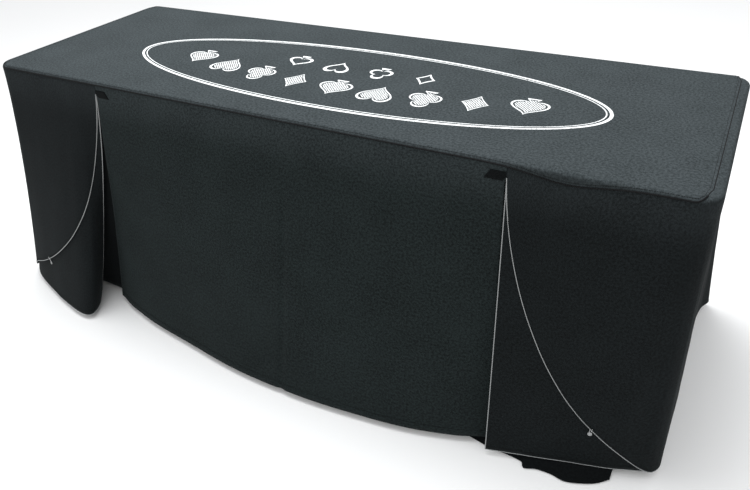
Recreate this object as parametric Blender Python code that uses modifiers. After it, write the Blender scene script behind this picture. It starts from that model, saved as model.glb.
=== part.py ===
"""Folding card table under a fitted cloth cover.

Metres, +Z up, floor at z = 0, long side along X, front facing -Y. The origin is the
middle of the whole object's footprint. The cover's left end flares out more than its
right, and its front more than its back, so the table's own centre sits a little off it.
"""

import math

import bmesh
import bpy
from mathutils import Vector

# Where the table's centre stands, from the footprint's middle
TABLE_X = 0.0440
TABLE_Y = 0.0310

# Table top
TABLE_LENGTH = 1.800
TABLE_WIDTH = 0.600
TOP_CORNER_RADIUS = 0.038
BOARD_THICKNESS = 0.022
FOAM_THICKNESS = 0.003
FELT_THICKNESS = 0.002
EDGE_BAND_WALL = 0.0022
GAP = 0.0003

# Under-frame of rectangular tube
RAIL_WIDTH = 0.020
RAIL_HEIGHT = 0.030
RAIL_WALL = 0.0015
RAIL_Y = 0.270
END_RAIL_X = 0.800

# Folding legs
HINGE_X = 0.720
HINGE_Z = 0.648
AXLE_RADIUS = 0.011
AXLE_HALF_LENGTH = 0.2575
BEARING_CLEARANCE = 0.0004
BRACKET_SIZE = (0.030, 0.020)
BRACKET_Y = 0.245
BRACKET_BOTTOM = 0.630
LEG_RADIUS = 0.014
LEG_WALL = 0.0015
LEG_Y = 0.220
LEG_SPLAY = math.radians(3)
LEG_END_HEIGHT = 0.008
STRETCHER_RADIUS = 0.010
STRETCHER_DROP = 0.500
FOOT_RADIUS = 0.018
FOOT_HEIGHT = 0.034
TUBE_SIDES = 24

# Folding stays: an upper and a lower strap on each side of each leg set
ANCHOR_FROM_HINGE = 0.360
PIVOT_FROM_HINGE = 0.260
UPPER_STRAP = 0.2775
LOWER_STRAP = 0.1775
STRAP_WIDTH = 0.020
STRAP_THICKNESS = 0.003
STRAP_BORE = 0.0043
PIN_RADIUS = 0.004
UPPER_STRAP_Y = 0.1985
LOWER_STRAP_Y = 0.2025
TIE_ROD_RADIUS = 0.004
LUG_SIZE = (0.020, 0.012)
LUG_Y = 0.189
LUG_BOTTOM = 0.636

# Cover: three layers of cloth, each outside the one before
CLOTH = 0.0012
COVER_TOP_Z = 0.703
COVER_TOP_THICKNESS = 0.0027
COVER_HALF_LENGTH = 0.9016
COVER_HALF_WIDTH = 0.3016
INNER_LAYER = 0.0000
MIDDLE_LAYER = 0.0016
OUTER_LAYER = 0.0032
COVER_CORNER_RADIUS = 0.040
SEAM_Z = 0.700
HEM_Z = 0.018
FLARE_POWER = 1.25
CURVE_POWER = 1.85
SLIT_HEIGHT = 0.027
CURVE_END_STATION = 1.5
CORNER_STEPS = 6
CURVE_STEPS = 14
CLOTH_ROWS = 8
SKIRT_COLUMNS = 28
GUSSET_COLUMNS = 12
FLAP_CORNER_STEPS = 3

# Front and back skirts: distance along X from the table's centre
FRONT_SKIRT_TOP = (-0.524, 0.538)
FRONT_SKIRT_HEM = (-0.635, 0.560)
BACK_SKIRT_TOP = (-0.528, 0.528)
BACK_SKIRT_HEM = (-0.540, 0.540)
SLITS = {"front_left": -0.528, "front_right": 0.542, "back_left": -0.532, "back_right": 0.532}

# How far each skirt's hem stands out, at even steps from its left to its right edge
FRONT_SKIRT_FLARE = (0.040, 0.086, 0.113, 0.137, 0.143, 0.134, 0.112, 0.064)
BACK_SKIRT_FLARE = (0.056, 0.078, 0.086, 0.088, 0.088, 0.084, 0.076, 0.060)

# Hem of each end panel, from its front slit round the end to its back slit.
# Stations 0-1 run to the front corner, 1-2 round it, 2-3 along the end, 3-4 and 4-5 back.
RIGHT_HEM = (
    (0.0, 0.568, -0.400), (0.5, 0.706, -0.364), (1.0, 0.846, -0.324),
    (1.5, 0.918, -0.288), (2.0, 0.927, -0.215), (2.5, 0.930, 0.000),
    (3.0, 0.930, 0.262), (3.3, 0.936, 0.335), (3.5, 0.953, 0.378),
    (3.75, 0.912, 0.390), (4.0, 0.862, 0.388), (4.5, 0.720, 0.394), (5.0, 0.556, 0.384),
)
LEFT_HEM = (
    (0.0, -0.708, -0.340), (0.12, -0.658, -0.396), (0.22, -0.642, -0.440),
    (0.34, -0.672, -0.460), (0.55, -0.770, -0.442), (0.8, -0.890, -0.406),
    (1.0, -0.974, -0.372), (1.5, -1.032, -0.322), (2.0, -1.040, -0.245),
    (2.5, -1.024, 0.000), (3.0, -1.006, 0.250), (3.5, -0.982, 0.332),
    (4.0, -0.900, 0.376), (4.5, -0.740, 0.392), (5.0, -0.552, 0.384),
)
FLAP_FRONT_END_STATION = 0.96
LAST_STATION = 5
END_FACE_STATION = 2.25
END_STATION_GAP = 2e-3
FLAP_TOP_V = 0.012
LAYER_SPREAD = 0.005

# Kick-pleat gussets behind the slits: x span, and hem flare from the first x to the second
GUSSET_TOP_Z = 0.664
GUSSETS = {
    "front_left": (-1, -0.800, -0.450, (0.014, 0.018, 0.030, 0.058), 0.016),
    "front_right": (-1, 0.455, 0.836, (0.062, 0.056, 0.046, 0.014), 0.004),
    "back_left": (1, -0.800, -0.450, (0.014, 0.024, 0.040, 0.052), 0.016),
    "back_right": (1, 0.450, 0.800, (0.052, 0.040, 0.024, 0.014), 0.016),
}
BUTTON_RADIUS = 0.005
BUTTON_HEIGHT = 0.0025
BUTTON_STATION = 0.74
BUTTON_BELOW_EDGE = 0.024

FELT_TOP_Z = COVER_TOP_Z - COVER_TOP_THICKNESS - GAP
FELT_LOW_Z = FELT_TOP_Z - FELT_THICKNESS
FOAM_TOP_Z = FELT_LOW_Z - GAP
FOAM_LOW_Z = FOAM_TOP_Z - FOAM_THICKNESS
BOARD_TOP_Z = FOAM_LOW_Z - GAP
BOARD_LOW_Z = BOARD_TOP_Z - BOARD_THICKNESS
FRAME_TOP_Z = BOARD_LOW_Z - GAP


def clear_scene():
    for obj in list(bpy.data.objects):
        bpy.data.objects.remove(obj)


def new_collection(name):
    collection = bpy.data.collections.new(name)
    bpy.context.scene.collection.children.link(collection)
    return collection


def material(name, colour, roughness, metallic=0.0):
    made = bpy.data.materials.new(name)
    made.use_nodes = True
    shader = made.node_tree.nodes["Principled BSDF"]
    shader.inputs["Base Color"].default_value = (*colour, 1.0)
    shader.inputs["Roughness"].default_value = roughness
    shader.inputs["Metallic"].default_value = metallic
    return made


def steel(name):
    return material(name + "_steel", (0.32, 0.33, 0.34), 0.40, 0.9)


def polyester(name):
    return material(name + "_polyester", (0.016, 0.018, 0.019), 0.85)


def rubber(name):
    return material(name + "_rubber", (0.02, 0.02, 0.02), 0.7)


def pivot(name, location, parent=None, turn_y=0.0):
    """An empty on a joint's axis, which the pieces of its body hang from."""
    empty = bpy.data.objects.new(name, None)
    empty.location = location
    empty.rotation_euler = (0.0, turn_y, 0.0)
    empty.parent = parent
    PARTS.objects.link(empty)
    return empty


def add_object(name, data, finish, parent, location=(0, 0, 0), rotation=(0, 0, 0), collection=None):
    obj = bpy.data.objects.new(name, data)
    if finish:
        data.materials.append(finish)
    obj.parent = parent
    obj.location = location
    obj.rotation_euler = rotation
    (collection or PARTS).objects.link(obj)
    return obj


def mesh_of(bm, name, smooth=False):
    mesh = bpy.data.meshes.new(name)
    bm.to_mesh(mesh)
    bm.free()
    if smooth:
        mesh.shade_smooth()
        mesh.set_sharp_from_angle(angle=math.radians(40))
    return mesh


def block_mesh(name, size, open_axis=None):
    bm = bmesh.new()
    bmesh.ops.create_cube(bm, size=1.0)
    bmesh.ops.scale(bm, vec=size, verts=bm.verts)
    if open_axis is not None:
        ends = [face for face in bm.faces if abs(face.normal[open_axis]) > 0.9]
        bmesh.ops.delete(bm, geom=ends, context="FACES_ONLY")
    return mesh_of(bm, name)


def cylinder_mesh(name, radius, length, capped=True):
    """A cylinder along Z, centred."""
    bm = bmesh.new()
    bmesh.ops.create_cone(
        bm, cap_ends=capped, segments=TUBE_SIDES, radius1=radius, radius2=radius, depth=length
    )
    return mesh_of(bm, name, smooth=True)


def give_wall(obj, thickness):
    wall = obj.modifiers.new("Wall", "SOLIDIFY")
    wall.thickness = thickness
    wall.offset = -1.0
    wall.use_even_offset = True


def cutter(name, mesh, parent, location, rotation=(0, 0, 0)):
    obj = add_object(name, mesh, None, parent, location, rotation, CUTTERS)
    obj.hide_render = True
    obj.display_type = "WIRE"
    return obj


def combine(obj, other, operation):
    boolean = obj.modifiers.new(other.name, "BOOLEAN")
    boolean.operation = operation
    boolean.solver = "EXACT"
    boolean.object = other


def arc(centre, radius, start, end, steps):
    for i in range(steps + 1):
        angle = math.radians(start + (end - start) * i / steps)
        yield centre[0] + radius * math.cos(angle), centre[1] + radius * math.sin(angle)


def rounded_rectangle(length, width, radius, steps=8):
    x, y = length / 2 - radius, width / 2 - radius
    corners = (((x, -y), -90), ((x, y), 0), ((-x, y), 90), ((-x, -y), 180))
    return [point for centre, start in corners for point in arc(centre, radius, start, start + 90, steps)]


def plate_curve(name, outlines, thickness):
    """A flat plate in local XY, centred on Z: the first outline is its edge, the others are holes."""
    curve = bpy.data.curves.new(name, "CURVE")
    curve.dimensions = "2D"
    curve.fill_mode = "BOTH"
    curve.extrude = thickness / 2
    for outline in outlines:
        spline = curve.splines.new("POLY")
        spline.points.add(len(outline) - 1)
        for point, (x, y) in zip(spline.points, outline):
            point.co = (x, y, 0.0, 1.0)
        spline.use_cyclic_u = True
    return curve


def table_plate(name, inset, z_low, z_high, finish, holes=()):
    outline = rounded_rectangle(
        TABLE_LENGTH - 2 * inset, TABLE_WIDTH - 2 * inset, TOP_CORNER_RADIUS - inset
    )
    curve = plate_curve(name, [outline, *holes], z_high - z_low)
    return add_object(name, curve, finish, TABLE, (0, 0, (z_low + z_high) / 2))


def make_table_top():
    inset = EDGE_BAND_WALL + GAP
    table_plate("table_board", inset, BOARD_LOW_Z, BOARD_TOP_Z, material("plywood", (0.42, 0.27, 0.14), 0.6))
    table_plate("foam_underlay", inset, FOAM_LOW_Z, FOAM_TOP_Z, material("foam", (0.07, 0.07, 0.075), 0.9))
    table_plate("playing_cloth", inset, FELT_LOW_Z, FELT_TOP_Z, material("felt", (0.01, 0.13, 0.05), 0.95))
    inner = rounded_rectangle(
        TABLE_LENGTH - 2 * EDGE_BAND_WALL,
        TABLE_WIDTH - 2 * EDGE_BAND_WALL,
        TOP_CORNER_RADIUS - EDGE_BAND_WALL,
    )
    black_trim = material("edge_band_pvc", (0.02, 0.02, 0.022), 0.5)
    table_plate("edge_band", 0.0, BOARD_LOW_Z, FELT_TOP_Z, black_trim, [inner])


def rail(name, length, along_x, x, y):
    size = (length, RAIL_WIDTH, RAIL_HEIGHT) if along_x else (RAIL_WIDTH, length, RAIL_HEIGHT)
    mesh = block_mesh(name, size, open_axis=0 if along_x else 1)
    obj = add_object(name, mesh, steel(name), TABLE, (x, y, FRAME_TOP_Z - RAIL_HEIGHT / 2))
    give_wall(obj, RAIL_WALL)


def make_under_frame():
    long_rail = 2 * END_RAIL_X + RAIL_WIDTH
    cross_rail = 2 * (RAIL_Y - RAIL_WIDTH / 2 - GAP)
    rail("front_rail", long_rail, True, 0, -RAIL_Y)
    rail("back_rail", long_rail, True, 0, RAIL_Y)
    rail("left_end_rail", cross_rail, False, -END_RAIL_X, 0)
    rail("centre_rail", cross_rail, False, 0, 0)
    rail("right_end_rail", cross_rail, False, END_RAIL_X, 0)


def make_hinge_bracket(name, x, y):
    height = FRAME_TOP_Z - BRACKET_BOTTOM
    mesh = block_mesh(name, (*BRACKET_SIZE, height))
    obj = add_object(name, mesh, steel(name), TABLE, (x, y, BRACKET_BOTTOM + height / 2))
    bore = cylinder_mesh(name + "_bore", AXLE_RADIUS + BEARING_CLEARANCE, 2 * BRACKET_SIZE[1])
    combine(obj, cutter(name + "_bore", bore, TABLE, (x, y, HINGE_Z), (math.pi / 2, 0, 0)), "DIFFERENCE")


def make_stay_anchor(name, x, end):
    """A lug under the board, with a boss that the upper strap turns on."""
    height = FRAME_TOP_Z - LUG_BOTTOM
    mesh = block_mesh(name, (*LUG_SIZE, height))
    obj = add_object(name, mesh, steel(name), TABLE, (x, end * LUG_Y, LUG_BOTTOM + height / 2))
    boss_from = LUG_Y
    boss_to = UPPER_STRAP_Y + STRAP_THICKNESS / 2 + GAP
    boss = cylinder_mesh(name + "_boss", PIN_RADIUS, boss_to - boss_from)
    place = (x, end * (boss_from + boss_to) / 2, HINGE_Z)
    combine(obj, cutter(name + "_boss", boss, TABLE, place, (math.pi / 2, 0, 0)), "UNION")


def strap(name, length, y, parent):
    """A flat link from its parent's pivot along the pivot's X axis, bored at both ends."""
    half = STRAP_WIDTH / 2
    outline = [*arc((0, 0), half, 90, 270, 10), *arc((length, 0), half, -90, 90, 10)]
    holes = [list(arc((x, 0), STRAP_BORE, 0, 345, 23)) for x in (0, length)]
    curve = plate_curve(name, [outline, *holes], STRAP_THICKNESS)
    add_object(name, curve, steel(name), parent, (0, y, 0), (math.pi / 2, 0, 0))


def make_legs(side_name, side, hinge):
    """An axle, two legs, a stretcher and two feet, in the splayed leg's own frame."""
    across = (math.pi / 2, 0, 0)
    axle = cylinder_mesh(side_name + "_axle", AXLE_RADIUS, 2 * AXLE_HALF_LENGTH, capped=False)
    obj = add_object(side_name + "_axle", axle, steel(side_name + "_axle"), hinge, rotation=across)
    give_wall(obj, LEG_WALL)
    length = (HINGE_Z - LEG_END_HEIGHT) / math.cos(LEG_SPLAY)
    for end_name, end in (("front", -1), ("back", 1)):
        name = f"{side_name}_{end_name}_leg"
        tube = cylinder_mesh(name, LEG_RADIUS, length, capped=False)
        leg = add_object(name, tube, steel(name), hinge, (0, end * LEG_Y, -length / 2))
        give_wall(leg, LEG_WALL)
        cope = cylinder_mesh(name + "_cope", AXLE_RADIUS + GAP, 4 * LEG_RADIUS)
        combine(leg, cutter(name + "_cope", cope, hinge, (0, end * LEG_Y, 0), across), "DIFFERENCE")
        make_foot(f"{side_name}_{end_name}_foot", side, end, hinge, length)
    stretcher = cylinder_mesh(side_name + "_stretcher", STRETCHER_RADIUS, 2 * (LEG_Y - LEG_RADIUS - GAP))
    add_object(
        side_name + "_stretcher", stretcher, steel(side_name + "_stretcher"), hinge,
        (0, 0, -STRETCHER_DROP), across,
    )


def make_foot(name, side, end, hinge, leg_length):
    """A rubber cup whose flat sole lies on the floor, bored along the splayed leg."""
    tilt = side * LEG_SPLAY
    centre_drop = HINGE_Z - FOOT_HEIGHT / 2
    centre = Vector((0, end * LEG_Y, -centre_drop / math.cos(LEG_SPLAY)))
    cup = cylinder_mesh(name, FOOT_RADIUS, FOOT_HEIGHT)
    foot = add_object(name, cup, rubber(name), hinge, centre, (0, tilt, 0))
    socket = cylinder_mesh(name + "_socket", LEG_RADIUS + GAP, FOOT_HEIGHT * 2)
    place = (0, end * LEG_Y, -leg_length - GAP + FOOT_HEIGHT)
    combine(foot, cutter(name + "_socket", socket, hinge, place), "DIFFERENCE")


def make_stays(side_name, side, hinge):
    """Both straps of each stay, straight when the legs stand, and the rod that ties the uppers."""
    anchor_x = side * (HINGE_X - ANCHOR_FROM_HINGE)
    leg_pivot = Vector((side * (HINGE_X + PIVOT_FROM_HINGE * math.sin(LEG_SPLAY)), 0,
                        HINGE_Z - PIVOT_FROM_HINGE * math.cos(LEG_SPLAY)))
    run = leg_pivot - Vector((anchor_x, 0, HINGE_Z))
    turn = math.atan2(-run.z, run.x)
    upper = pivot(side_name + "_upper_stay_pivot", (anchor_x, 0, HINGE_Z), TABLE, turn)
    lower = pivot(side_name + "_lower_stay_pivot", leg_pivot, TABLE, turn + math.pi)
    for end_name, end in (("front", -1), ("back", 1)):
        strap(f"{side_name}_{end_name}_upper_strap", UPPER_STRAP, end * UPPER_STRAP_Y, upper)
        strap(f"{side_name}_{end_name}_lower_strap", LOWER_STRAP, end * LOWER_STRAP_Y, lower)
        make_stay_anchor(f"{side_name}_{end_name}_stay_anchor", anchor_x, end)
        inner = UPPER_STRAP_Y + STRAP_THICKNESS / 2 + 3 * GAP
        outer = LEG_Y - LEG_RADIUS - GAP
        name = f"{side_name}_{end_name}_strap_stud"
        stud = cylinder_mesh(name, PIN_RADIUS, outer - inner)
        place = (0, end * (outer + inner) / 2, -PIVOT_FROM_HINGE)
        add_object(name, stud, steel(name), hinge, place, (math.pi / 2, 0, 0))
    half_rod = UPPER_STRAP_Y - STRAP_THICKNESS / 2 - GAP
    rod = cylinder_mesh(side_name + "_tie_rod", TIE_ROD_RADIUS, 2 * half_rod)
    add_object(
        side_name + "_tie_rod", rod, steel(side_name + "_tie_rod"), upper,
        (UPPER_STRAP, 0, 0), (math.pi / 2, 0, 0),
    )


def smooth_through(knots, at):
    """A smooth curve through knots, each a parameter followed by its values."""
    last = len(knots) - 1
    i = next((k for k in range(last) if at <= knots[k + 1][0]), last - 1)
    before, start, end, after = (knots[max(0, min(last, k))] for k in (i - 1, i, i + 1, i + 2))
    span = end[0] - start[0]
    t = (at - start[0]) / span
    values = []
    for a, p, q, b in zip(before[1:], start[1:], end[1:], after[1:]):
        slope_p = (q - a) / max(end[0] - before[0], span) * span
        slope_q = (b - p) / max(after[0] - start[0], span) * span
        values.append(
            (2 * t**3 - 3 * t**2 + 1) * p + (t**3 - 2 * t**2 + t) * slope_p
            + (3 * t**2 - 2 * t**3) * q + (t**3 - t**2) * slope_q
        )
    return values


def evenly(values, first=0.0, last=1.0):
    steps = len(values) - 1
    return [(first + (last - first) * i / steps, value) for i, value in enumerate(values)]


def flare(v):
    """Share of the hem's flare that the cloth has at the share v of its drop."""
    return v**FLARE_POWER


def top_outline(side, slits, station, layer):
    """A point on an end panel's top edge: side is -1 at the left end and 1 at the right."""
    radius = COVER_CORNER_RADIUS + layer
    x, y = COVER_HALF_LENGTH + layer, COVER_HALF_WIDTH + layer
    straight_x, straight_y = x - radius, y - radius
    if station <= 1:
        return Vector((slits[0] + (side * straight_x - slits[0]) * station, -y))
    if station <= 2:
        angle = (station - 1) * math.pi / 2
        x = side * (straight_x + radius * math.sin(angle))
        return Vector((x, -straight_y - radius * math.cos(angle)))
    if station <= 3:
        return Vector((side * x, -straight_y + 2 * straight_y * (station - 2)))
    if station <= 4:
        angle = (station - 3) * math.pi / 2
        return Vector((side * (straight_x + radius * math.cos(angle)), straight_y + radius * math.sin(angle)))
    return Vector((side * straight_x + (slits[1] - side * straight_x) * (station - 4), y))


class EndPanel:
    """The cloth surface that wraps one end of the table, between its front and back slits."""

    def __init__(self, side, slits, hem):
        self.side = side
        self.slits = slits
        self.hem = hem

    def outer(self, station, v):
        top = top_outline(self.side, self.slits, station, OUTER_LAYER)
        hem = Vector(smooth_through(self.hem, station))
        flat = top.lerp(hem, flare(v))
        return Vector((flat.x, flat.y, SEAM_Z + (HEM_Z - SEAM_Z) * v))

    def outward(self, station, v):
        step = END_STATION_GAP / 2
        along = self.outer(station + step, v) - self.outer(station - step, v)
        down = self.outer(station, v + step) - self.outer(station, max(0.0, v - step))
        return (down.cross(along) * self.side).normalized()

    def layer(self, station, v, depth):
        """A point that lies depth inside the outer layer."""
        station = min(max(station, END_STATION_GAP), LAST_STATION - END_STATION_GAP)
        return self.outer(station, v) - self.outward(station, v) * depth

    def under_layer(self, station, v):
        """A point on the under-flap, which stands further off the outer layer towards the hem."""
        return self.layer(station, v, OUTER_LAYER - MIDDLE_LAYER + LAYER_SPREAD * flare(v))

    def edge_drop(self, station):
        """Share of the drop where the curved front or back edge is, 1 between the curves."""
        along = min(station, LAST_STATION - station) / CURVE_END_STATION
        if along >= 1:
            return 1.0
        drop = (1 - (1 - along) ** CURVE_POWER) ** (1 / CURVE_POWER)
        return max(drop, SLIT_HEIGHT / (SEAM_Z - HEM_Z))


def curve_stations(steps, last):
    """Stations from a slit up to last, close together where the curved edge is steep."""
    stations = []
    for i in range(steps):
        angle = math.pi / 2 * i / steps
        stations.append(CURVE_END_STATION * (1 - math.cos(angle) ** (2 / CURVE_POWER)))
    return [station for station in stations if station < last]


FLAP_FRONT = curve_stations(CURVE_STEPS, FLAP_FRONT_END_STATION)
CORNER = [1 + i / CORNER_STEPS for i in range(CORNER_STEPS + 1)]
FLAP_STATIONS = FLAP_FRONT + CORNER[:FLAP_CORNER_STEPS]


def cloth(name, columns, rows, surface, parent, offset, thickness=CLOTH):
    """A sheet made from a grid: surface gives the outer point at column and row shares."""
    bm = bmesh.new()
    bmesh.ops.create_grid(bm, x_segments=columns, y_segments=rows, size=0.5)
    for vert in bm.verts:
        vert.co = surface(vert.co.x + 0.5, 0.5 - vert.co.y) - offset
    bm.normal_update()
    facing = sum(
        face.normal.xy.dot((face.calc_center_median() + offset).xy) * face.calc_area() for face in bm.faces
    )
    if facing < 0:
        bmesh.ops.reverse_faces(bm, faces=bm.faces)
    obj = add_object(name, mesh_of(bm, name, smooth=True), polyester(name), parent)
    give_wall(obj, thickness)
    return obj


def make_end_panel(name, panel, parent, offset):
    half = FLAP_FRONT + CORNER + [END_FACE_STATION]
    middle = [LAST_STATION / 2]
    stations = half + middle + [LAST_STATION - station for station in reversed(half)]
    columns = len(stations) - 1

    def surface(u, w):
        station = stations[round(u * columns)]
        return panel.layer(station, w * panel.edge_drop(station), 0.0)

    cloth(name, columns, CLOTH_ROWS, surface, parent, offset)


def make_under_flap(name, panel, at_back, parent, offset):
    columns = len(FLAP_STATIONS) - 1

    def surface(u, w):
        station = FLAP_STATIONS[round(u * columns)]
        station = LAST_STATION - station if at_back else station
        return panel.under_layer(station, FLAP_TOP_V + (1 - FLAP_TOP_V) * w**FLARE_POWER)

    cloth(name, columns, CLOTH_ROWS, surface, parent, offset)


def make_button(name, panel, at_back, parent, offset):
    station = LAST_STATION - BUTTON_STATION if at_back else BUTTON_STATION
    v = panel.edge_drop(station) + BUTTON_BELOW_EDGE
    normal = panel.outward(station, v)
    place = panel.under_layer(station, v) + normal * (BUTTON_HEIGHT / 2 + GAP) - offset
    bm = bmesh.new()
    bmesh.ops.create_cone(
        bm, cap_ends=True, segments=TUBE_SIDES, radius1=BUTTON_RADIUS,
        radius2=BUTTON_RADIUS * 0.7, depth=BUTTON_HEIGHT,
    )
    turn = normal.to_track_quat("Z", "Y").to_euler()
    finish = material(name + "_plastic", (0.10, 0.10, 0.11), 0.4)
    add_object(name, mesh_of(bm, name, smooth=True), finish, parent, place, turn)


def make_skirt(name, face, top, hem, flares, parent, offset):
    """The wide panel between the slits: face is -1 for the front and 1 for the back."""
    knots = evenly(flares)

    def surface(u, w):
        x = top[0] + (top[1] - top[0]) * u
        x += (hem[0] + (hem[1] - hem[0]) * u - x) * w
        out = smooth_through(knots, u)[0] * flare(w)
        y = COVER_HALF_WIDTH + MIDDLE_LAYER + out
        return Vector((x, face * y, SEAM_Z + (HEM_Z - SEAM_Z) * w))

    cloth(name, SKIRT_COLUMNS, CLOTH_ROWS, surface, parent, offset)


def make_gusset(name, face, first_x, last_x, flares, hem_z, parent, offset):
    knots = evenly(flares)

    def surface(u, w):
        drop = (SEAM_Z - GUSSET_TOP_Z) + (GUSSET_TOP_Z - hem_z) * w
        out = smooth_through(knots, u)[0] * flare(drop / (SEAM_Z - hem_z))
        y = COVER_HALF_WIDTH + INNER_LAYER + out
        return Vector((first_x + (last_x - first_x) * u, face * y, SEAM_Z - drop))

    cloth(name, GUSSET_COLUMNS, CLOTH_ROWS, surface, parent, offset)


def make_cover():
    lift = pivot("cover_lift", (0, 0, SEAM_Z), TABLE)
    offset = Vector((0, 0, SEAM_Z))
    outline = rounded_rectangle(2 * COVER_HALF_LENGTH, 2 * COVER_HALF_WIDTH, COVER_CORNER_RADIUS)
    top = plate_curve("cover_top", [outline], COVER_TOP_THICKNESS)
    place = (0, 0, COVER_TOP_Z - COVER_TOP_THICKNESS / 2 - SEAM_Z)
    add_object("cover_top", top, polyester("cover_top"), lift, place)
    for name, side, hem in (("left", -1, LEFT_HEM), ("right", 1, RIGHT_HEM)):
        slits = (SLITS["front_" + name], SLITS["back_" + name])
        panel = EndPanel(side, slits, hem)
        make_end_panel(f"cover_{name}_panel", panel, lift, offset)
        for end_name, at_back in (("front", False), ("back", True)):
            make_under_flap(f"{end_name}_{name}_under_flap", panel, at_back, lift, offset)
            make_button(f"{end_name}_{name}_button", panel, at_back, lift, offset)
    for name, (face, first_x, last_x, flares, hem_z) in GUSSETS.items():
        make_gusset(name + "_gusset", face, first_x, last_x, flares, hem_z, lift, offset)
    for name, face, top, hem, flares in (
        ("front", -1, FRONT_SKIRT_TOP, FRONT_SKIRT_HEM, FRONT_SKIRT_FLARE),
        ("back", 1, BACK_SKIRT_TOP, BACK_SKIRT_HEM, BACK_SKIRT_FLARE),
    ):
        seam = Vector((0, face * (COVER_HALF_WIDTH + MIDDLE_LAYER - CLOTH), SEAM_Z))
        hinge = pivot(name + "_skirt_seam", seam, TABLE)
        make_skirt(name + "_skirt", face, top, hem, flares, hinge, seam)


clear_scene()
PARTS = new_collection("covered_card_table")
CUTTERS = new_collection("cutters")
TABLE = pivot("table_centre", (TABLE_X, TABLE_Y, 0))

make_table_top()
make_under_frame()
for leg_side_name, leg_side in (("left", -1), ("right", 1)):
    leg_hinge = pivot(
        leg_side_name + "_leg_hinge", (leg_side * HINGE_X, 0, HINGE_Z), TABLE, -leg_side * LEG_SPLAY
    )
    for bracket_end, bracket_y in (("front", -BRACKET_Y), ("back", BRACKET_Y)):
        make_hinge_bracket(
            f"{leg_side_name}_{bracket_end}_hinge_bracket", leg_side * HINGE_X, bracket_y
        )
    make_legs(leg_side_name, leg_side, leg_hinge)
    make_stays(leg_side_name, leg_side, leg_hinge)
make_cover()
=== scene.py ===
"""Looks of a folding card table under its fitted black cloth cover.

Metres, +Z up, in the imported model's own frame. The frame says where the table stands;
the hems repeat the cover's cut, and every cloth piece is a fine sheet with its bound
edges, seams and stitches.
"""

import math
from functools import partial

import bmesh
import bpy
import numpy as np
from mathutils import Matrix, Vector, noise


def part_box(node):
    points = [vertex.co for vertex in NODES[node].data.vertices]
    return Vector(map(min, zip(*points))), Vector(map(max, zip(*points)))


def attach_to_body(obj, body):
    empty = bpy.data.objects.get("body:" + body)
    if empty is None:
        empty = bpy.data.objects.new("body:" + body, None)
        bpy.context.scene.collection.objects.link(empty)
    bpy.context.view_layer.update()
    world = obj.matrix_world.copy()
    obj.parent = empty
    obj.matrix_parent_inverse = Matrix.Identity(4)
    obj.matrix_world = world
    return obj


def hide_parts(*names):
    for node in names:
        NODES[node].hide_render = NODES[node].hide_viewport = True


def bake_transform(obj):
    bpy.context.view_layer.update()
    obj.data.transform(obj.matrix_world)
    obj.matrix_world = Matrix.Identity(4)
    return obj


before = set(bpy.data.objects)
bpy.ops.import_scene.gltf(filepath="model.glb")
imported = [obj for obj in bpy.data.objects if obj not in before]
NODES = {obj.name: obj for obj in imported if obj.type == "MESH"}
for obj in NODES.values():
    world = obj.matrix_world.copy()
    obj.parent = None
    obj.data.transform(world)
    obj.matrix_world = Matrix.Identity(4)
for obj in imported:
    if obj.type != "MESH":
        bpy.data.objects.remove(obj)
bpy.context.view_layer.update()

# The table's own centre and the cover's flat top, from the frame
TOP_LOW, TOP_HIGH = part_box("cover_top")
CENTRE = Vector(((TOP_LOW.x + TOP_HIGH.x) / 2, (TOP_LOW.y + TOP_HIGH.y) / 2, 0))
COVER_HALF_LENGTH = (TOP_HIGH.x - TOP_LOW.x) / 2
COVER_HALF_WIDTH = (TOP_HIGH.y - TOP_LOW.y) / 2
COVER_CORNER_RADIUS = 0.040
TOP_Z = TOP_HIGH.z

# Cover layers and the rolled shoulder between the top panel and the sides
CLOTH = 0.0012
MIDDLE_LAYER = 0.0016
OUTER_LAYER = 0.0032
LAYER_SPREAD = 0.005
SHOULDER_RADIUS = 0.010
SHOULDER_Z = TOP_Z + 0.0010
SEAM_Z = TOP_Z - 0.003
HEM_Z = 0.018
FLARE_POWER = 1.25
CURVE_POWER = 1.85
CURVE_END_STATION = 1.5
SLIT_HEIGHT = 0.027

# Slits, and the edges of the wide skirts, along X from the table's centre
SLITS = {"front_left": -0.528, "front_right": 0.542, "back_left": -0.532, "back_right": 0.532}

# Long skirts: face, x span at the top and at the hem, flares from left to right, seed of the folds
SKIRTS = {
    "front": (-1, (-0.524, 0.538), (-0.635, 0.560),
              (0.040, 0.086, 0.113, 0.137, 0.143, 0.134, 0.112, 0.064), 3.0),
    "back": (1, (-0.528, 0.528), (-0.540, 0.540),
             (0.056, 0.078, 0.086, 0.088, 0.088, 0.084, 0.076, 0.060), 5.0),
}
# The skirts run on behind the end panels by TUCK at the top, and their hanging edges curl in
SKIRT_TUCK, TUCK_ENDS = 0.014, (0.02, 0.055)
SKIRT_CURL, CURL_SHARE, CURL_STARTS = 0.007, 0.060, (0.15, 0.6)
HEM_STITCH_RISE, EDGE_STITCH_RISE, FLAP_STITCH_RISE = 0.018, 0.006, 0.009
# Loop tape at the tops of the slits; its very dark colour also stands for the shade of the tuck there
SLIT_SHADE_TAPE, SLIT_SHADE_TAPE_MARGIN = (0.665, 0.684), 0.004
SLIT_SHADE_TAPE_WIDTH, SLIT_SHADE_TAPE_THICKNESS = 0.037, 0.0011
PLEAT_BACK = 0.011
CREASE_X, CREASE_WIDTH, CREASE_DEPTH, CREASE_STARTS = 0.034, 0.009, 0.0030, (0.1, 0.4)

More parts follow.
